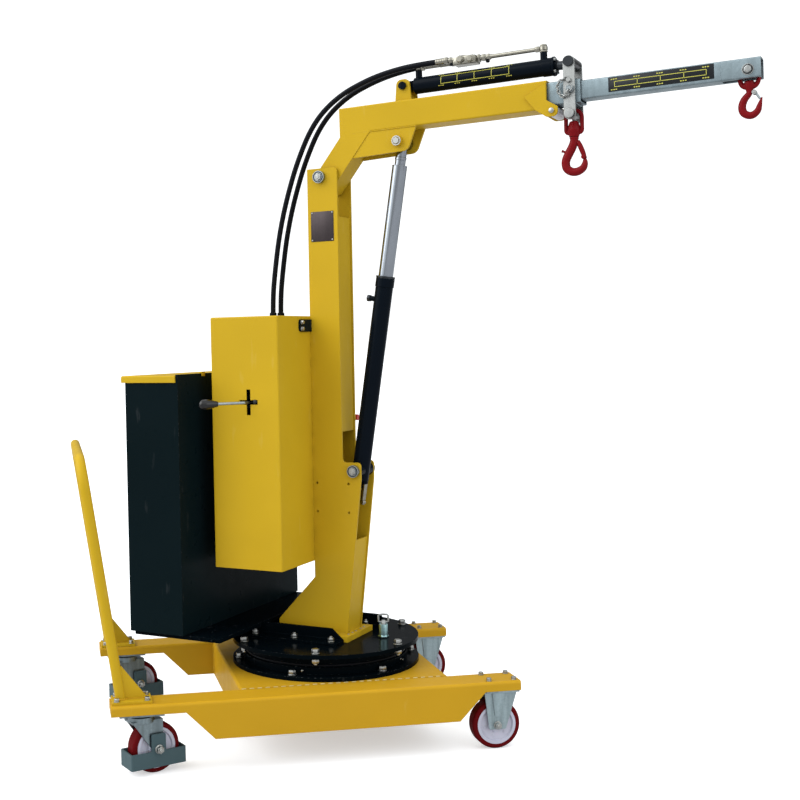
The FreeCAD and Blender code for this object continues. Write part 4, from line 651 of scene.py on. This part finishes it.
# slew lock: nut at the tube's foot, pin and its pull
LOCK_PLACE = (215, 20, 0)
PULL_TURN = 29.5
PULL_HALF = 17
PULL_LOOP = [
    (-PULL_HALF, 0, 56), (-PULL_HALF, 0, 75), (3 - PULL_HALF, 0, 79), (0, 0, 80), (PULL_HALF - 3, 0, 79),
    (PULL_HALF, 0, 75), (PULL_HALF, 0, 56), (PULL_HALF - 3, 0, 53.5), (3 - PULL_HALF, 0, 53.5),
]
LOCK = moved(moved(UPPER, *LOCK_PLACE), angle=PULL_TURN)
lock = Piece()
lock.hexagon(LOCK_PLACE, "z", 32, 0.2, 9)
lock.make("lock_nut", UPPER, "turntable", blue_zinc, "zinc")
pull = Piece()
pull.lathe([(0, 24), (7, 24), (8, 26), (8, 58), (6.5, 60), (0, 60)], (0, 0, 0), "z", 24)
pull.sweep(PULL_LOOP, 3.6, 12, closed=True)
pull = pull.make("lock_pin_pull", LOCK, "lock_pin", bright_zinc, "zinc")
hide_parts("lock_pin")

# tower: tab at its panel, tray below it on the rails
TRAY_REAR = -530
TRAY_FRONT = -188
TRAY_HALF = 405
TRAY_LOW = 30
TRAY_TOP = 45.5
tab = Piece()
tab.slab((-332, -267, 915), (-321, -246, 931), 1.2)
tab.make("panel_tab", UPPER, "turntable", yellow, "yellow_paint")
tray = Piece()
tray.slab((TRAY_REAR, -TRAY_HALF, TRAY_LOW), (TRAY_FRONT, TRAY_HALF, TRAY_TOP), 2.5)
for x in (-306, -264, -216):
    for sign in SIGNS:
        tray.bolt((x, sign * TRAY_HALF, 38), outward(sign), 8)
tray.make("tower_tray", UPPER, "turntable", disc_black, "black_paint")

# upright web on the outer edge of the far rail, sloped at its front end
WEB_OUTLINE = ((-322, 0.2), (168, 0.2), (169, 8), (141, 44), (139, 45), (-322, 45))
web = Piece()
web.skin([[(x, y, z) for x, z in WEB_OUTLINE] for y in (161, 168)])
web.make("rail_far_web", UPPER, "turntable", disc_black, "black_paint")

# cabinet: screw beside the lever's gate
SCREW_PLACE = (-96, -299, 829)
gate_screw = Piece()
gate_screw.lathe([(0, 0), (7.5, 0), (7.5, 2), (6, 3.5), (0, 3.5)], SCREW_PLACE, "-y", 24)
gate_screw.lathe([(0, 3.5), (3.6, 3.5), (3.2, 5), (0, 5.4)], SCREW_PLACE, "-y", 14)
gate_screw.make("gate_screw", UPPER, "turntable", dark_steel, "zinc")

# boom: pin heads, roller pin ends, seams, rear plug
ROLLER_PIN = 58
heads = Piece()
for sign in SIGNS:
    at = (286.4, sign * (BOOM_HALF + 12), 94.3)
    heads.band(16.6, 12.5, 0, 1.6, at, outward(sign), 32)
    heads.hexagon(at, outward(sign), 21, 0, 5)
    heads.lathe([(0, 0), (8.5, 0), (8.5, 1.5), (6.5, 3), (0, 3)],
                (ROLLER[0], sign * ROLLER_PIN, ROLLER[2]), outward(sign), 24)
heads.make("boom_bolts", BOOM, "boom", bolt_zinc, "zinc")
beads = Piece()
for sign in SIGNS:
    beads.weld((120, sign * 43.2, 138), (352, sign * 43.2, 138), 2.4)
    beads.weld((316, sign * 32.2, 228.5), (278, sign * 32.2, 228.5), 2.4)
beads.make("boom_welds", BOOM, "boom", yellow, "yellow_paint")
plug = Piece()
plug.lathe([(0, 0), (9, 0), (9, 1.5), (7, 3), (0, 3)], (75, 0, 152), "-x", 24)
plug.make("boom_plug", BOOM, "boom", rubber, "knob_black")

# extension cylinder: gland with its screws, then the valve, its fittings and the pipes to both ports
EXT_END = 803
gland = Piece()
gland.band(31, 14.4, 0.5, 9, (EXT_END, 0, EXT_AXIS), "x", 32)
gland.band(21, 14.4, 9, 15, (EXT_END, 0, EXT_AXIS), "x", 32)
gland.make("extension_gland", BOOM, "boom", black_gloss, "black_paint")
screws = Piece()
for k in range(4):
    y, z = round_at(25.5, 90 * k + 45)
    screws.bolt((EXT_END + 9, y, EXT_AXIS + z), "x", 8)
screws.make("gland_screws", BOOM, "boom", bright_zinc, "zinc")

HOSE_Y = 18
HOSE_Z = 341.5
PIPE_Z = 338
FEED_Z = 332
FRONT_PORT = 775
REAR_PORT = 352
PORT_Z = 326
PIPE_RADIUS = 6.8
valve = Piece()
crimps = [(0, 0), (9.8, 0), (10.8, 1)]
for step in range(4):
    crimps += [(10.8, 3 + 6 * step), (10.1, 4 + 6 * step), (10.1, 6 + 6 * step), (10.8, 7 + 6 * step)]
crimps += [(10.8, 28), (9.6, 30), (0, 30)]
for sign in SIGNS:
    y = sign * HOSE_Y
    valve.lathe(crimps, (450, y, HOSE_Z), "-x", 20)
    valve.hexagon((450, y, HOSE_Z), "x", 21, 0, 13)
    valve.lathe([(0, 13), (7, 13), (7, 17), (0, 17)], (450, y, HOSE_Z), "x", 16)
    valve.hexagon((467, y, HOSE_Z - 1), "x", 19, 0, 10)
    valve.lathe([(0, 10), (8, 10), (8, 16), (0, 16)], (467, y, HOSE_Z - 1), "x", 16)
valve.slab((480, -25, 322.5), (558, 25, 347.5), 3)
valve.slab((492, -17, 347), (548, 17, 350.5), 1.5)
valve.lathe([(0, 0), (12, 0), (12.5, 1), (12.5, 3), (10, 4), (0, 4)], (508, 0, 350.3), "z", 28)
for x, z, across in ((507, 337, 24), (540, 334, 19)):
    for sign in SIGNS:
        at = (x, sign * 24.5, z)
        valve.hexagon(at, outward(sign), across, 0, 0.3 * across)
        valve.lathe([(0, 0.3 * across), (0.42 * across, 0.3 * across), (0.42 * across, 0.55 * across),
                     (0.36 * across, 0.62 * across), (0, 0.62 * across)], at, outward(sign), 24)
for x, across, long in ((558, 24, 9), (572, 21, 13), (589, 19, 11)):
    valve.hexagon((x, 0, PIPE_Z), "x", across, 0, long)
valve.lathe([(0, 0), (8.5, 0), (8.5, 34), (7.6, 36), (7.6, 46), (PIPE_RADIUS, 47), (PIPE_RADIUS, 208),
             (0, 208)], (558, 0, PIPE_Z), "x", 20)
valve.hexagon((763, 0, PIPE_Z), "-x", 17, 0, 15)
valve.hexagon((FRONT_PORT, 0, PORT_Z), "z", 23, 0.3, 6)
valve.lathe([(0, 6), (12, 6), (13, 7), (13, 17), (12, 18), (0, 18)], (FRONT_PORT, 0, PORT_Z), "z", 28)
valve.hexagon((FRONT_PORT, 0, PORT_Z), "z", 20, 18, 24.6)
valve.lathe([(0, 0), (4.2, 0), (4.2, 120), (0, 120)], (REAR_PORT + 8, 0, FEED_Z), "x", 16)
valve.hexagon((482, 0, FEED_Z), "-x", 15, 0, 14)
valve.hexagon((REAR_PORT + 9, 0, FEED_Z), "x", 14, 0, 12)
valve.hexagon((REAR_PORT, 0, PORT_Z), "z", 19, 0.3, 3)
valve.lathe([(0, 3), (9, 3), (9.6, 4), (9.6, 10), (8, 11.5), (0, 11.5)], (REAR_PORT, 0, PORT_Z), "z", 24)
fittings = valve.make("valve_fittings", BOOM, "boom", fitting, "zinc")
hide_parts("valve_block")
caps = Piece()
for x, y, z in ((474, -16, 332), (592, -3, 329)):
    caps.lathe([(0, 0), (6, 0), (6.5, 2), (6.5, 7), (5, 9), (0, 9)], (x, y, z), "-z", 18)
caps.make("port_caps", BOOM, "boom", rubber, "knob_black")


def printed(piece, corners):
    """One flat face of print."""
    piece.mesh.faces.new([piece.mesh.verts.new(corner) for corner in corners])


def on_barrel(x, degrees):
    """A point just off the extension barrel, turned up from its near side."""
    angle = math.radians(degrees)
    radius = EXT_RADIUS + 0.25
    return Vector((x, -radius * math.cos(angle), EXT_AXIS + radius * math.sin(angle)))


def barrel_patch(piece, x0, x1, low, high, steps=1):
    """A thin print on the barrel between two places along it and two turns round it."""
    for k in range(steps):
        a = low + (high - low) * k / steps
        b = low + (high - low) * (k + 1) / steps
        printed(piece, [on_barrel(x0, a), on_barrel(x1, a), on_barrel(x1, b), on_barrel(x0, b)])


# ladder print on the extension barrel, with plain marks
LADDER = (438, 494, 552, 610, 668)
LINE = 1.8
MARK = 4.6
LOW_TURN = -20
HIGH_TURN = 34
LINE_TURN = math.degrees(LINE / EXT_RADIUS)
ladder = Piece()
for turn in (LOW_TURN, HIGH_TURN):
    barrel_patch(ladder, LADDER[0], LADDER[-1], turn, turn + LINE_TURN)
for x in LADDER:
    barrel_patch(ladder, x - LINE / 2, x + LINE / 2, LOW_TURN, HIGH_TURN, 10)
    for turn in (LOW_TURN - 14, HIGH_TURN + 14):
        for start in (-10, -3, 4):
            barrel_patch(ladder, x + start, x + start + MARK, turn, turn + 6, 2)
ladder.make("barrel_ladder", BOOM, "boom", line_yellow, "chart_black")

# jib and inner tube: square tubes, the inner one slotted under its tip; a collar under the bracket
CORNERS = ((1, 1), (-1, 1), (-1, -1), (1, -1))
TUBE_WALL = 4.5
TUBE_SOFT = 5
JIB_REAR = 250
JIB_FRONT = 897
INNER_REAR = 520
SLOT_REAR = 1309
INNER_TIP = 1419
SLOT_HALF = 16
BRACKET_HALF = 18
COLLAR_HALF = 40


def square_ring(x, half, soft, z):
    """Corners of a rounded square across the X axis."""
    ring = []
    for turn, (side, rise) in enumerate(CORNERS):
        for step in range(5):
            across, up = round_at(soft, 90 * turn + 22.5 * step)
            ring.append((x, side * (half - soft) + across, z + rise * (half - soft) + up))
    return ring


def square_tube(piece, rear, front, half, wall, z):
    """A square tube along X with softened ends."""
    outer = [square_ring(x, half - cut, TUBE_SOFT, z)
             for x, cut in ((rear, 0.8), (rear + 0.8, 0), (front - 0.8, 0), (front, 0.8))]
    inner = [square_ring(x, half - wall, 2, z) for x in (front, rear)]
    piece.skin(outer + inner, closed=True)


def slotted_tube(piece, rear, front, half, wall, z, gap):
    """A square tube along X with a slot underneath."""
    low = z - half
    floor_z = low + wall
    rings = []
    for x in (rear, front):
        outer = square_ring(x, half, TUBE_SOFT, z)
        inner = square_ring(x, half - wall, 2, z)
        outer = outer[15:] + outer[:15]
        inner = inner[15:] + inner[:15]
        corners = [(x, gap, low)] + outer + [(x, -gap, low), (x, -gap, floor_z)]
        rings.append(corners + inner[::-1] + [(x, gap, floor_z)])
    piece.skin(rings)


slide = Piece()
square_tube(slide, JIB_REAR, JIB_FRONT, JIB_HALF, TUBE_WALL, JIB_AXIS)
square_tube(slide, BRACKET_X - BRACKET_HALF, BRACKET_X + BRACKET_HALF, COLLAR_HALF, COLLAR_HALF - JIB_HALF,
            JIB_AXIS)
slide = slide.make("jib_square_tube", BOOM, "jib", tube_zinc, "zinc")
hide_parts("jib_tube")
slide = Piece()
square_tube(slide, INNER_REAR, SLOT_REAR, INNER_HALF, TUBE_WALL, INNER_AXIS)
slotted_tube(slide, SLOT_REAR, INNER_TIP, INNER_HALF, TUBE_WALL, INNER_AXIS, SLOT_HALF)
slide.lathe([(0, -INNER_HALF), (8, -INNER_HALF), (8, INNER_HALF), (0, INNER_HALF)],
            (TIP_X, 0, BOOM_AXIS), "y", 24)
slide = slide.make("inner_square_tube", BOOM, "inner", tube_zinc, "zinc")
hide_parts("inner_tube")
roller = Piece()
roller.lathe([(0, -44), (15.5, -44), (17.2, -42), (17.8, -38), (17.8, 38), (17.2, 42), (15.5, 44), (0, 44)],
             ROLLER, "y", 40)
roller.lathe([(0, -ROLLER_PIN), (6, -ROLLER_PIN), (6, ROLLER_PIN), (0, ROLLER_PIN)], ROLLER, "y", 20)
roller = roller.make("jib_roller_barrel", BOOM, "boom", roller_pale, "zinc")
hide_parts("jib_roller")

# chart on the inner tube: a ladder with plain marks
CHART_Z = INNER_AXIS + 3.5
CHART_Y = -INNER_HALF - 0.6
CHART_STEPS = (1000, 1068, 1136, 1204, 1268)
board = Piece()
board.slab((981, -INNER_HALF - 0.4, CHART_Z - 22.5), (1290, -INNER_HALF + 0.2, CHART_Z + 22.5), 0.2)
board = board.make("chart_board", BOOM, "inner", chart_black, "chart_black")
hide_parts("chart_plate")
chart = Piece()


def chart_bar(x0, z0, x1, z1):
    """One printed bar; its heights count from the chart's middle."""
    low = CHART_Z + z0
    high = CHART_Z + z1
    printed(chart, [(x0, CHART_Y, low), (x1, CHART_Y, low), (x1, CHART_Y, high), (x0, CHART_Y, high)])


for z in (-9, 7):
    chart_bar(CHART_STEPS[0], z, CHART_STEPS[-1], z + LINE)
for x in CHART_STEPS:
    chart_bar(x - LINE / 2, -9, x + LINE / 2, 9)
    for start in (-11, -4, 3):
        chart_bar(x + start, 14, x + start + MARK, 17)
        chart_bar(x + start, -18, x + start + MARK, -15)
chart.make("chart_lines", BOOM, "inner", line_yellow, "chart_black")

# lift cylinder: gland ring, drain fitting on its boss, port nut, collars on the rod's neck
LIFT_END = 664
LIFT_SPAN = 1122.4
LIFT_FOOT = -34
DRAIN_X = 21
DRAIN = (DRAIN_X, 0, LIFT_FOOT)
gland = Piece()
gland.band(32.6, 25.3, LIFT_END + 0.5, LIFT_END + 7, (0, 0, 0), "z", 40)
gland.make("lift_gland", LIFT, "lift_barrel", dark_steel, "black_paint")
boss = Piece()
boss.lathe([(0, -3), (12, -3), (12, 11), (10.6, 13), (0, 13)], (DRAIN_X - 3, 0, LIFT_FOOT), "-z", 28)
boss.make("lift_drain_boss", LIFT, "lift_barrel", black_gloss, "black_paint")
drain = Piece()
drain.lathe([(0, 11), (9, 11), (9, 68), (7.6, 70), (7.6, 72), (0, 72)], DRAIN, "-z", 24)
drain.hexagon(DRAIN, "-z", 21, 71, 80)
drain.lathe([(0, 79), (8, 79), (8, 82), (6, 85), (0, 85)], DRAIN, "-z", 20)
drain.make("lift_drain", LIFT, "lift_barrel", fitting, "zinc")
port = Piece()
port.hexagon((-46, 0, 590), "-x", 22, -0.5, 10)
port.make("lift_port", LIFT, "lift_barrel", dark_steel, "black_paint")
collars = Piece()
collars.band(25.8, 18.1, 0, 3, (0, 0, LIFT_SPAN - 80), "z", 40)
collars.band(19.2, 17, 0, 12, (0, 0, LIFT_SPAN - 60), "z", 40)
collars.make("rod_collars", LIFT, "lift_rod", chrome, "chrome")

# jib bracket: hook pin heads, lock pin ring and chain
grip = Piece()
for sign in SIGNS:
    at = (BRACKET_X, sign * 57.5, HOOK_PIN_Z)
    grip.lathe([(0, 0), (14.5, 0), (15.5, 1), (15.5, 3.5), (14, 5), (0, 5.5)], at, outward(sign), 32)
    grip.bolt((BRACKET_X, sign * 48.2, 218), outward(sign), 13)
grip.make("bracket_bolts", BOOM, "jib", bright_zinc, "zinc")
CHAIN = [
    (856, -51, 224), (838, -53, 220), (829, -54, 200), (838, -55, 172), (856, -58, 166), (865, -65, 182),
]
LINK_PITCH = 9.0
line = spline_points("chain", CHAIN)
links = Piece()
walked = 0.0
placed = 0
for before, after in zip(line, line[1:]):
    step = (after - before).length
    while placed * LINK_PITCH < walked + step:
        centre = before.lerp(after, (placed * LINK_PITCH - walked) / step)
        run = (after - before).normalized()
        side = run.cross(Vector((0, 1, 0))).normalized()
        if placed % 2:
            side = run.cross(side)
        loop = []
        for k in range(14):
            long, wide = round_at(1, 360 * k / 14)
            loop.append(centre + run * (7.5 * long) + side * (4.6 * wide))
        links.sweep(loop, 1.7, 6, closed=True)
        placed += 1
    walked += step
ring = []
for k in range(20):
    x, z = round_at(10, 18 * k)
    ring.append((868.5 + x, -66, 191 + z))
links.sweep(ring, 1.5, 8, closed=True)
links.make("lock_pin_chain", BOOM, "jib", bright_zinc, "zinc")

# hooks: forged bodies along smooth lines; the Y of each control point is the half thickness there
TIP = moved(BOOM, TIP_X, 0, BOOM_AXIS, "Y", BOOM_TILT)
MID = moved(BOOM, BRACKET_X, 0, HOOK_PIN_Z, "Y", BOOM_TILT)


def forged(piece, name, controls, sides=18):
    """A round body along a smooth line in the local XZ plane, thick as its controls say."""
    line = spline_points(name, controls)
    piece.sweep([(point.x, 0, point.z) for point in line], [point.y for point in line], sides)


def hinge(piece, x, z, inner):
    """Two ears and a pin for a latch."""
    for sign in SIGNS:
        piece.lathe([(0, 0), (6.5, 0), (7, 0.6), (7, 2.4), (6.5, 3), (0, 3)],
                    (x - 2, sign * inner, z), outward(sign), 20)
    end = inner + 3.8
    piece.lathe([(0, -end), (2.8, -end), (2.8, end), (0, end)], (x, 0, z), "y", 14)


tip_hook = Piece()
forged(tip_hook, "tip_bow", [
    (0, 9.5, -47), (10, 9, -46), (20, 7.6, -41), (26, 6.5, -29), (27, 5.5, -12), (24, 5, 12), (0, 5, 15.5),
    (-24, 5, 12), (-27, 5.5, -12), (-26, 6.5, -29), (-20, 7.6, -41), (-10, 9, -46), (0, 9.5, -47),
], 14)
tip_hook.lathe([(0, -29), (11, -29), (15, -33), (15.5, -42), (13, -50), (9.6, -57), (8.8, -61), (0, -61)],
               (0, 0, 0), "z", 28)
forged(tip_hook, "tip_bowl", [
    (1, 8.8, -50), (2, 8.8, -60), (-3, 9.2, -70), (-14, 10.4, -81), (-22, 11.2, -101), (-18, 11.2, -123),
    (4, 11.0, -133), (22, 9.8, -121), (27, 7.8, -105), (29.5, 5.6, -95), (32.5, 3.2, -86), (34.6, 1.2, -79),
])
sculpted = tip_hook.make("tip_hook_forging", TIP, "tip_hook", hook_red, "hook_red")
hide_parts("tip_hook")
ears = Piece()
hinge(ears, 16, -64, 5.8)
ears.make("tip_latch_ears", TIP, "tip_hook", bright_zinc, "zinc")

bell = Piece()
bell.lathe([(0, -17), (9, -17), (13.5, -19.5), (16, -26), (18.5, -34), (21, -43), (21, -50), (17, -58),
            (15.5, -65.5), (0, -65.5)], (0, 0, 0), "z", 32)
bell.make("link_bell", MID, "hook_link", hook_red, "hook_red")
swivel_hook = Piece()
swivel_hook.lathe([(0, -66.6), (13.5, -66.6), (14, -68), (14, -72), (12.5, -75), (12, -84), (0, -84)],
                  (0, 0, 0), "z", 28)
forged(swivel_hook, "hook_bowl", [
    (0, 12.4, -72), (-1, 12.8, -84), (-7, 14, -100), (-19, 14, -120), (-29.5, 13.4, -143),
    (-24.5, 13.2, -168), (1, 13, -179), (26, 12, -169), (33, 9.6, -153), (33, 7, -143), (32, 5, -137),
])
hinge(swivel_hook, 31.5, -132, 6.6)
swivel_hook.lathe([(0, 0), (3.6, 0), (3.6, 8), (4.6, 8.6), (4.6, 12), (0, 12)],
                  (-28, 0, -112), (-0.9, 0, 0.35), 14)
sculpted = swivel_hook.make("swivel_hook_forging", MID, "swivel_hook", hook_red, "hook_red")
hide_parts("swivel_hook")
gate = Piece()
forged(gate, "gate_bar", [
    (31.5, 6.2, -135), (30, 7.4, -127), (25, 8.0, -113), (19.5, 8.0, -99), (14.5, 7.4, -88), (11, 6.0, -80),
])
gate = gate.make("hook_gate_bar", MID, "hook_gate", hook_red, "hook_red")
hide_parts("hook_gate")

# inner tube: tip bolt and end plug
PLUG_HALF = 24.6
tip = Piece()
for sign in SIGNS:
    at = (TIP_X, sign * INNER_HALF, BOOM_AXIS)
    tip.band(16.5, 8.6, 0, 2, at, outward(sign), 36)
    tip.hexagon(at, outward(sign), 21, 2, 9)
    tip.lathe([(0, 9), (8, 9), (7, 10.5), (0, 10.5)], at, outward(sign), 20)
tip.make("tip_bolts", BOOM, "inner", bright_zinc, "zinc")
rim = Piece()
for sign in SIGNS:
    rim.band(14.6, 11.8, 1.6, 2.6, (TIP_X, sign * INNER_HALF, BOOM_AXIS), outward(sign), 36)
rim.make("tip_bolt_rims", BOOM, "inner", dark_steel, "zinc")
cap = Piece()
cap.slab((1414, -PLUG_HALF, INNER_AXIS + 14), (1417.5, PLUG_HALF, INNER_AXIS + PLUG_HALF), 1.2)
cap.make("tip_cap", BOOM, "inner", rubber, "knob_black")

# hoses: the part's own routes as control points of smooth splines
HOSE_RADIUS = 9
HOSE_LOW = [(0, 0), (0, 69), (12, 169), (31, 289), (62, 411)]
CABINET_TOP = 1115
HOSES = {
    "hose_a": (-18, -172, [
        (-104.4, 71.2), (-38.4, 197.2), (53.6, 275.2), (173.6, 322.2), (285.6, 343.2),
        (387.6, 348.2), (456.5, 348.2),
    ]),
    "hose_b": (18, -160, [
        (-92.4, 71.2), (-26.4, 197.2), (65.6, 275.2), (179.6, 320.2), (287.6, 342.2),
        (387.6, 348.2), (456.5, 348.2),
    ]),
}
boots = Piece()
for name, (y, foot_x, rest) in HOSES.items():
    controls = [UPPER @ Vector((foot_x + x, y, CABINET_TOP + z)) for x, z in HOSE_LOW]
    controls += [UPPER @ Vector((PIVOT_X + x, y, PIVOT_Z + z)) for x, z in rest]
    points = spline_points(name, controls)
    hose = Piece()
    hose.sweep(points, HOSE_RADIUS / 1000, 20)
    made = hose.make(f"{name}_rubber", Matrix.Identity(4), None, rubber, "hose_rubber")
    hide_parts(name)
    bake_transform(made)
    boots.band(16, 9.3, 0, 5, (foot_x, y, CABINET_TOP), "z", 28)
    boots.band(12.5, 9.2, 5, 17, (foot_x, y, CABINET_TOP), "z", 28)
boots.make("hose_boots", UPPER, "turntable", rubber, "hose_rubber")

# stage: floor, soft studio light and the camera at the photograph's place
FLOOR_HALF = 150.0
FLOOR_CORNERS = [
    (-FLOOR_HALF, -FLOOR_HALF, 0), (FLOOR_HALF, -FLOOR_HALF, 0),
    (FLOOR_HALF, FLOOR_HALF, 0), (-FLOOR_HALF, FLOOR_HALF, 0),
]
floor_mesh = bpy.data.meshes.new("floor")
floor_mesh.from_pydata(FLOOR_CORNERS, [], [(0, 1, 2, 3)])
floor = bpy.data.objects.new("floor", floor_mesh)
bpy.context.scene.collection.objects.link(floor)
floor_look = Look("pale_floor", Roughness=0.75, IOR=1.2, Emission_Color=rgb(1, 1, 1))
seen = floor_look.node("ShaderNodeLightPath").outputs["Is Camera Ray"]
cloud = floor_look.span(floor_look.noise(1.2, 3), 0.3, 0.7)
pale = floor_look.mix(cloud, rgb(0.79, 0.805, 0.83), rgb(0.81, 0.825, 0.85))
floor_look.set("Base Color", floor_look.mix(seen, rgb(0.46, 0.46, 0.47), pale))
floor_look.set("Emission Strength", floor_look.span(seen, 0, 1, 0.08, FLOOR_GLOW))
floor_mesh.materials.append(floor_look.material)

# the sky is dim at the horizon and bright overhead, with a soft box each side; the camera sees it white
world = bpy.data.worlds.new("studio")
bpy.context.scene.world = world
world.use_nodes = True
sky = world.node_tree


def sky_node(kind, settings=(), values=(), links=()):
    """One node of the sky, with its settings, values and links."""
    made = sky.nodes.new(kind)
    for key, value in dict(settings).items():
        setattr(made, key, value)
    for key, value in dict(values).items():
        made.inputs[key].default_value = value
    for key, source in dict(links).items():
        sky.links.new(source, made.inputs[key])
    return made


def sky_glow(direction, start, end, strength):
    """A soft patch of light around a direction."""
    dot = sky_node("ShaderNodeVectorMath", {"operation": "DOT_PRODUCT"},
                   {1: Vector(direction).normalized()}, {0: look_up.outputs["Generated"]})
    span = sky_node("ShaderNodeMapRange", {"interpolation_type": "SMOOTHSTEP"},
                    {"From Min": start, "From Max": end, "To Max": strength},
                    {"Value": dot.outputs["Value"]})
    return span.outputs["Result"]


look_up = sky_node("ShaderNodeTexCoord")
glows = (
    sky_glow((0, 0, 1), 0.0, 1.0, SKY_TOP),
    sky_glow((-0.75, -0.55, 0.35), 0.60, 0.97, SKY_LEFT),
    sky_glow((0.96, -0.22, 0.15), 0.74, 0.98, SKY_RIGHT),
    sky_glow((0.20, -0.95, 0.25), 0.30, 1.00, SKY_FRONT),
)
total = None
for glow in glows:
    added = sky_node("ShaderNodeMath", {"operation": "ADD"}, {1: SKY_LOW}, {0: glow})
    if total is not None:
        sky.links.new(total, added.inputs[1])
    total = added.outputs[0]
rays = sky_node("ShaderNodeLightPath")
level = sky_node("ShaderNodeMapRange", (), {"To Max": SKY_SEEN},
                 {"Value": rays.outputs["Is Camera Ray"], "To Min": total})
back = sky.nodes["Background"]
back.inputs["Color"].default_value = (0.97, 0.99, 1.0, 1.0)
sky.links.new(level.outputs["Result"], back.inputs["Strength"])

key = bpy.data.lights.new("key", "SUN")
key.energy = KEY_LIGHT
key.angle = math.radians(KEY_ANGLE)
key_light = bpy.data.objects.new("key", key)
key_light.rotation_euler = Vector(KEY_AIM).to_track_quat("-Z", "Y").to_euler()
bpy.context.scene.collection.objects.link(key_light)

# camera, found from the photograph's straight edges; its lens is measured in pixels
PHOTO_SIZE = 800.0
SENSOR = 36.0
FOCAL = 1253.3
CENTRE_X = 250.9
CENTRE_Y = 371.7
EYE = (1.6784, -3.8730, 1.341)
YAW = math.radians(-29.5)
PITCH = math.radians(-1.3)
ROLL = math.radians(-1.2)
lens = bpy.data.cameras.new("camera")
lens.sensor_width = SENSOR
lens.lens = FOCAL * SENSOR / PHOTO_SIZE
lens.shift_x = (PHOTO_SIZE / 2 - CENTRE_X) / PHOTO_SIZE
lens.shift_y = (CENTRE_Y - PHOTO_SIZE / 2) / PHOTO_SIZE
camera = bpy.data.objects.new("camera", lens)
flat = Vector((math.sin(YAW), math.cos(YAW), 0))
ahead = flat * math.cos(PITCH) + Vector((0, 0, math.sin(PITCH)))
right = Vector((math.cos(YAW), -math.sin(YAW), 0))
up = right.cross(ahead)
right_rolled = math.cos(ROLL) * right + math.sin(ROLL) * up
up_rolled = -math.sin(ROLL) * right + math.cos(ROLL) * up
columns = Matrix((right_rolled, up_rolled, -ahead)).transposed().to_4x4()
camera.matrix_world = Matrix.Translation(EYE) @ columns
bpy.context.scene.collection.objects.link(camera)
bpy.context.scene.camera = camera
bpy.context.scene.view_settings.view_transform = "Standard"
